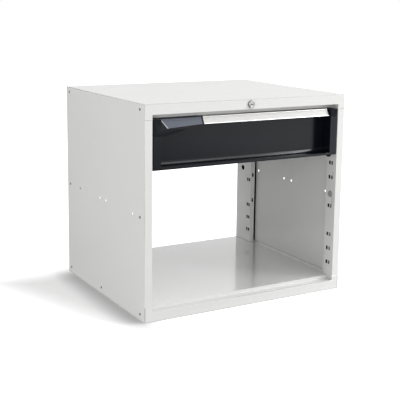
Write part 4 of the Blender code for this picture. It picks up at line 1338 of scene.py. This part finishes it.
@dataclass
class Runner:
    """One side's runner: cabinet rail, clip, middle rail with its pins, four rollers and drawer rail.

    Args:
        side: The runner's side.
        rim: The rounding of the rails.
        clip_round: The rounding of the clip.
        clip_edge: The shortest edge that gets it.
        pin: A roller's bore, across.
        hub: How far outside that bore and how far behind its side a roller's hub runs.
        tread: How far inside its rim and how far behind its side the side of its tread runs.
        tyre_dip: How deep the groove is round a roller.
        dip_shares: Where the groove's slope starts and ends, as shares of the roller's width.
    """

    side: Side
    rim: float = 0.3 * MM
    clip_round: float = 0.8 * MM
    clip_edge: float = 2 * MM
    pin: float = 6.6 * MM
    hub: tuple[Pair, ...] = ((0, 0.3 * MM), (2 * MM, 0.3 * MM), (2.6 * MM, 0.9 * MM))
    tread: tuple[Pair, ...] = ((2.4 * MM, 0.9 * MM), (1.8 * MM, 0), (0.6 * MM, 0), (0, 0.6 * MM))
    tyre_dip: float = 0.4 * MM
    dip_shares: Pair = (0.3, 0.42)

    def build(self) -> None:
        """Builds every piece of the runner."""
        word = self.side.word
        for part in ("cabinet_rail", "middle_rail", "drawer_rail"):
            soften(f"{word}_{part}", ZINC, self.rim)
        soften(f"{word}_rail_clip", BLACK_PLASTIC, self.clip_round, 2, self.clip_edge)
        for place in ("outer_front", "outer_back", "inner_front", "inner_back"):
            self.roller(f"{word}_roller_{place}")

    def roller(self, node: str) -> None:
        """Turns a nylon roller with a dip round its middle.

        Args:
            node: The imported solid.
        """
        width, radius = length_of(node, 0), length_of(node, 2) / 2
        start, end = (share * width for share in self.dip_shares)
        profile = [(self.pin / 2 + outside, behind) for outside, behind in self.hub]
        profile += [(radius - inside, behind) for inside, behind in self.tread]
        profile += [(radius, start), (radius - self.tyre_dip, end)]
        profile += [(reach, width - y) for reach, y in reversed(profile)]
        turn = Matrix.Rotation(math.radians(90), 4, "Z")
        place = Matrix.Translation(middle(node)) @ turn @ Matrix.Translation((0, -width / 2, 0))
        Shape.turned(profile, 48, closed=True).moved(place).finished(node, NYLON)


@dataclass
class Softbox:
    """A rectangular studio lamp.

    Args:
        name: The lamp's name.
        azimuth: Where it stands, in degrees to the right of the cabinet's front.
        elevation: Its height above the cabinet's middle, in degrees.
        distance: How far it is from the cabinet's middle.
        width: Its width.
        height: Its height.
        share: The light it sends, as a share of a plain level.
        roll: How far its top leans to the right, in degrees.
    """

    name: str
    azimuth: float
    elevation: float
    distance: float
    width: float
    height: float
    share: float
    roll: float = 0

    def build(self, target: Vector) -> None:
        """Hangs the lamp and turns it to the cabinet.

        Args:
            target: The cabinet's middle.
        """
        light = bpy.data.lights.new(self.name, "AREA")
        light.shape = "RECTANGLE"
        light.size, light.size_y = self.width, self.height
        light.energy = self.share * (math.pi * self.distance) ** 2
        lamp = bpy.data.objects.new(self.name, light)
        turn, rise = math.radians(self.azimuth), math.radians(self.elevation)
        away = Vector((math.sin(turn) * math.cos(rise), -math.cos(turn) * math.cos(rise), math.sin(rise)))
        lamp.location = target + away * self.distance
        lean = Quaternion(Z_AXIS, -math.radians(self.roll))
        lamp.rotation_euler = (away.to_track_quat("Z", "Y") @ lean).to_euler()
        bpy.context.scene.collection.objects.link(lamp)
        LOG.info("%s: %.0f W", self.name, light.energy)


@dataclass
class Studio:
    """The pale floor, the soft light and the camera.

    Args:
        floor_size: Half the floor's width.
        floor_colour: The floor's colour in the light that it sends back.
        floor_mirrored: Its colour in reflections.
        floor_white: Its colour to the eye.
        floor_lift: What it adds for the eye, so that its lit part is white.
        floor_shade: Its colour to the eye along the foot of the left side, where the shadow is deepest.
        shade_reach: How far from the left side that darker colour reaches.
        shadow_right: Where, along x, the floor starts to hide the shadow, and where it has done so.
        shadow_back: The same along y, behind the cabinet.
        shadow_front: The same against y, before the cabinet.
        shadow_hidden: How much of the shadow is hidden beyond these three.
        shadow_left: Where it starts to hide all of it left of the cabinet, and where it has done so.
        shadow_slant: How far that border moves to the left for each metre to the back.
        shadow_reach: How far from the cabinet's middle the floor is all white.
        shadow_fade: At which share of a spot of that reach the white starts.
        floor_gleam: Where, along x, the floor starts to look white in reflections, and where it does.
        floor_glow: How much light the floor in front of the cabinet adds to what it sends back.
        glow_right: Where, along x, that glow starts, and where it is full.
        glow_front: How far in front of the cabinet's middle it starts to fade, and where it ends.
        ambient: The light from all round, as a share of white.
        camera_place: Where the camera stands.
        azimuth: How far the camera looks to the right, in degrees.
        tilt: How far it looks down, in degrees.
        roll: How far it leans, in degrees.
        lens: Its focal length, in mm.
        shift: The picture's shift along its height, as a share of its width.
        lamps: The lamps.
    """

    floor_size: float = 12
    floor_colour: Colour = (0.78, 0.78, 0.78)
    floor_mirrored: Colour = (0.35, 0.35, 0.35)
    floor_white: Colour = (0.97, 0.97, 0.97)
    floor_lift: float = 0.03
    floor_shade: Colour = (0.48, 0.48, 0.48)
    shade_reach: float = 0.10
    shadow_right: Pair = (-0.37, -0.25)
    shadow_back: Pair = (0.2, 0.45)
    shadow_front: Pair = (0.33, 0.44)
    shadow_hidden: float = 0.8
    shadow_left: Pair = (0.44, 0.80)
    shadow_slant: float = 0.30
    shadow_reach: float = 1.6
    shadow_fade: float = 0.5
    floor_gleam: Pair = (0.65, 2.0)
    floor_glow: float = 0.5
    glow_right: Pair = (-0.9, 0.9)
    glow_front: Pair = (0.9, 1.8)
    ambient: float = 0.51
    camera_place: Point = (-1.4715, -2.557, 0.938)
    azimuth: float = 29.82
    tilt: float = 10.04
    roll: float = 0.65
    lens: float = 80.49
    shift: float = -0.10
    lamps: tuple[Softbox, ...] = (
        Softbox("key_softbox", 24, 42, 3.8, 1.6, 1.6, 0.14),
        Softbox("right_softbox", 53, 38, 3.8, 0.5, 3.0, 0.46, roll=32),
        Softbox("left_softbox", -35, 12, 3.4, 1.6, 1.0, 0.16),
        Softbox("side_softbox", -92, 24, 2.5, 1.4, 1.4, 0.25),
    )

    def build(self) -> None:
        """Builds the floor, the light and the camera."""
        scene = bpy.context.scene
        scene.view_settings.view_transform = "Standard"
        self.lay_floor()
        self.light_room(scene)
        low, high = CAD_BOX
        for lamp in self.lamps:
            lamp.build((Vector(low) + Vector(high)) / 2)
        self.set_camera(scene)

    @staticmethod
    def rays(recipe: Recipe, *kinds: str) -> Signal:
        """1 for rays of the kinds that are named."""
        found = [recipe.node("ShaderNodeLightPath", output=f"Is {kind} Ray") for kind in kinds]
        return functools.reduce(Signal.higher, found)

    def lay_floor(self) -> None:
        """Lays the floor, which keeps the cabinet's shadow."""
        mesh = bmesh.new()
        bmesh.ops.create_grid(mesh, x_segments=1, y_segments=1, size=self.floor_size)
        data = bpy.data.meshes.new("studio_floor")
        mesh.to_mesh(data)
        mesh.free()
        floor = bpy.data.objects.new("studio_floor", data)
        bpy.context.scene.collection.objects.link(floor)
        material = bpy.data.materials.new("studio_floor_paint")
        material.use_nodes = True
        recipe = Recipe(material.node_tree)
        shader = recipe.node("ShaderNodeBsdfPrincipled", sockets=self.floor_paint(recipe))
        recipe.node("ShaderNodeOutputMaterial", sockets={"Surface": shader})
        data.materials.append(material)

    def floor_paint(self, recipe: Recipe) -> Sockets:
        """Mixes the floor's paint: white to the eye but for the shadow, and plainer to other rays.

        Args:
            recipe: The paint's node tree.

        Returns:
            A value or a link for each socket.
        """
        seen, mirrored = self.rays(recipe, "Camera", "Transmission"), self.rays(recipe, "Glossy")
        right, back = (recipe.coordinate(axis) for axis in "XY")
        beyond = right.between(*self.shadow_right).higher(back.between(*self.shadow_back))
        beyond = beyond.higher((0 - back).between(*self.shadow_front)) * self.shadow_hidden
        beyond = beyond.higher((0 - (right + back * self.shadow_slant)).between(*self.shadow_left))
        away = 1 - recipe.near((0, 0, 0), self.shadow_reach).between(0, self.shadow_fade)
        lift = (beyond.higher(away) * (1 - self.floor_lift) + self.floor_lift) * seen
        lift = lift.higher(right.between(*self.floor_gleam) * mirrored)
        glow = right.between(*self.glow_right) * (1 - (0 - back).between(*self.glow_front)) * self.floor_glow
        lift = lift.higher(glow * (1 - seen.higher(mirrored)))
        (left, front, _), (_, rear, _) = CAD_BOX
        beside = right.between(left - self.shade_reach, left) * back.inside(front, rear, self.shade_reach / 2)
        white = recipe.mix(beside, self.floor_white, self.floor_shade)
        return {
            "Base Color": recipe.mix(seen, recipe.mix(mirrored, self.floor_colour, self.floor_mirrored), white),
            "Roughness": 1.0,
            "Specular IOR Level": 0.0,
            "Emission Color": recipe.mix(lift, (0, 0, 0), (1, 1, 1)),
            "Emission Strength": 1.0,
        }

    def light_room(self, scene: bpy.types.Scene) -> None:
        """Lights the room evenly, and makes it white to the eye.

        Args:
            scene: The scene that gets the world.
        """
        world = bpy.data.worlds.new("pale_room")
        world.use_nodes = True
        recipe = Recipe(world.node_tree)
        strength = self.ambient + self.rays(recipe, "Camera", "Glossy", "Transmission") * (1 - self.ambient)
        sky = recipe.node("ShaderNodeBackground", sockets={"Color": (1.0, 1.0, 1.0), "Strength": strength})
        recipe.node("ShaderNodeOutputWorld", sockets={"Surface": sky})
        scene.world = world

    def set_camera(self, scene: bpy.types.Scene) -> None:
        """Sets the camera at the photograph's angle.

        Args:
            scene: The scene that gets the camera.
        """
        data = bpy.data.cameras.new("photo_camera")
        data.lens = self.lens
        data.shift_y = self.shift
        camera = bpy.data.objects.new("photo_camera", data)
        camera.matrix_world = (
            Matrix.Translation(self.camera_place)
            @ Matrix.Rotation(-math.radians(self.azimuth), 4, "Z")
            @ Matrix.Rotation(math.radians(90 - self.tilt), 4, "X")
            @ Matrix.Rotation(math.radians(self.roll), 4, "Z")
        )
        scene.collection.objects.link(camera)
        scene.camera = camera


def main() -> None:
    """Builds the cabinet's pieces and the studio, in order."""
    logging.basicConfig(level=logging.INFO, format="%(name)s: %(message)s")
    Carcass().build()
    CamLock().build()
    Drawer().build()
    for side in Side:
        Runner(side).build()
    Studio().build()


if __name__ == "__main__":
    main()
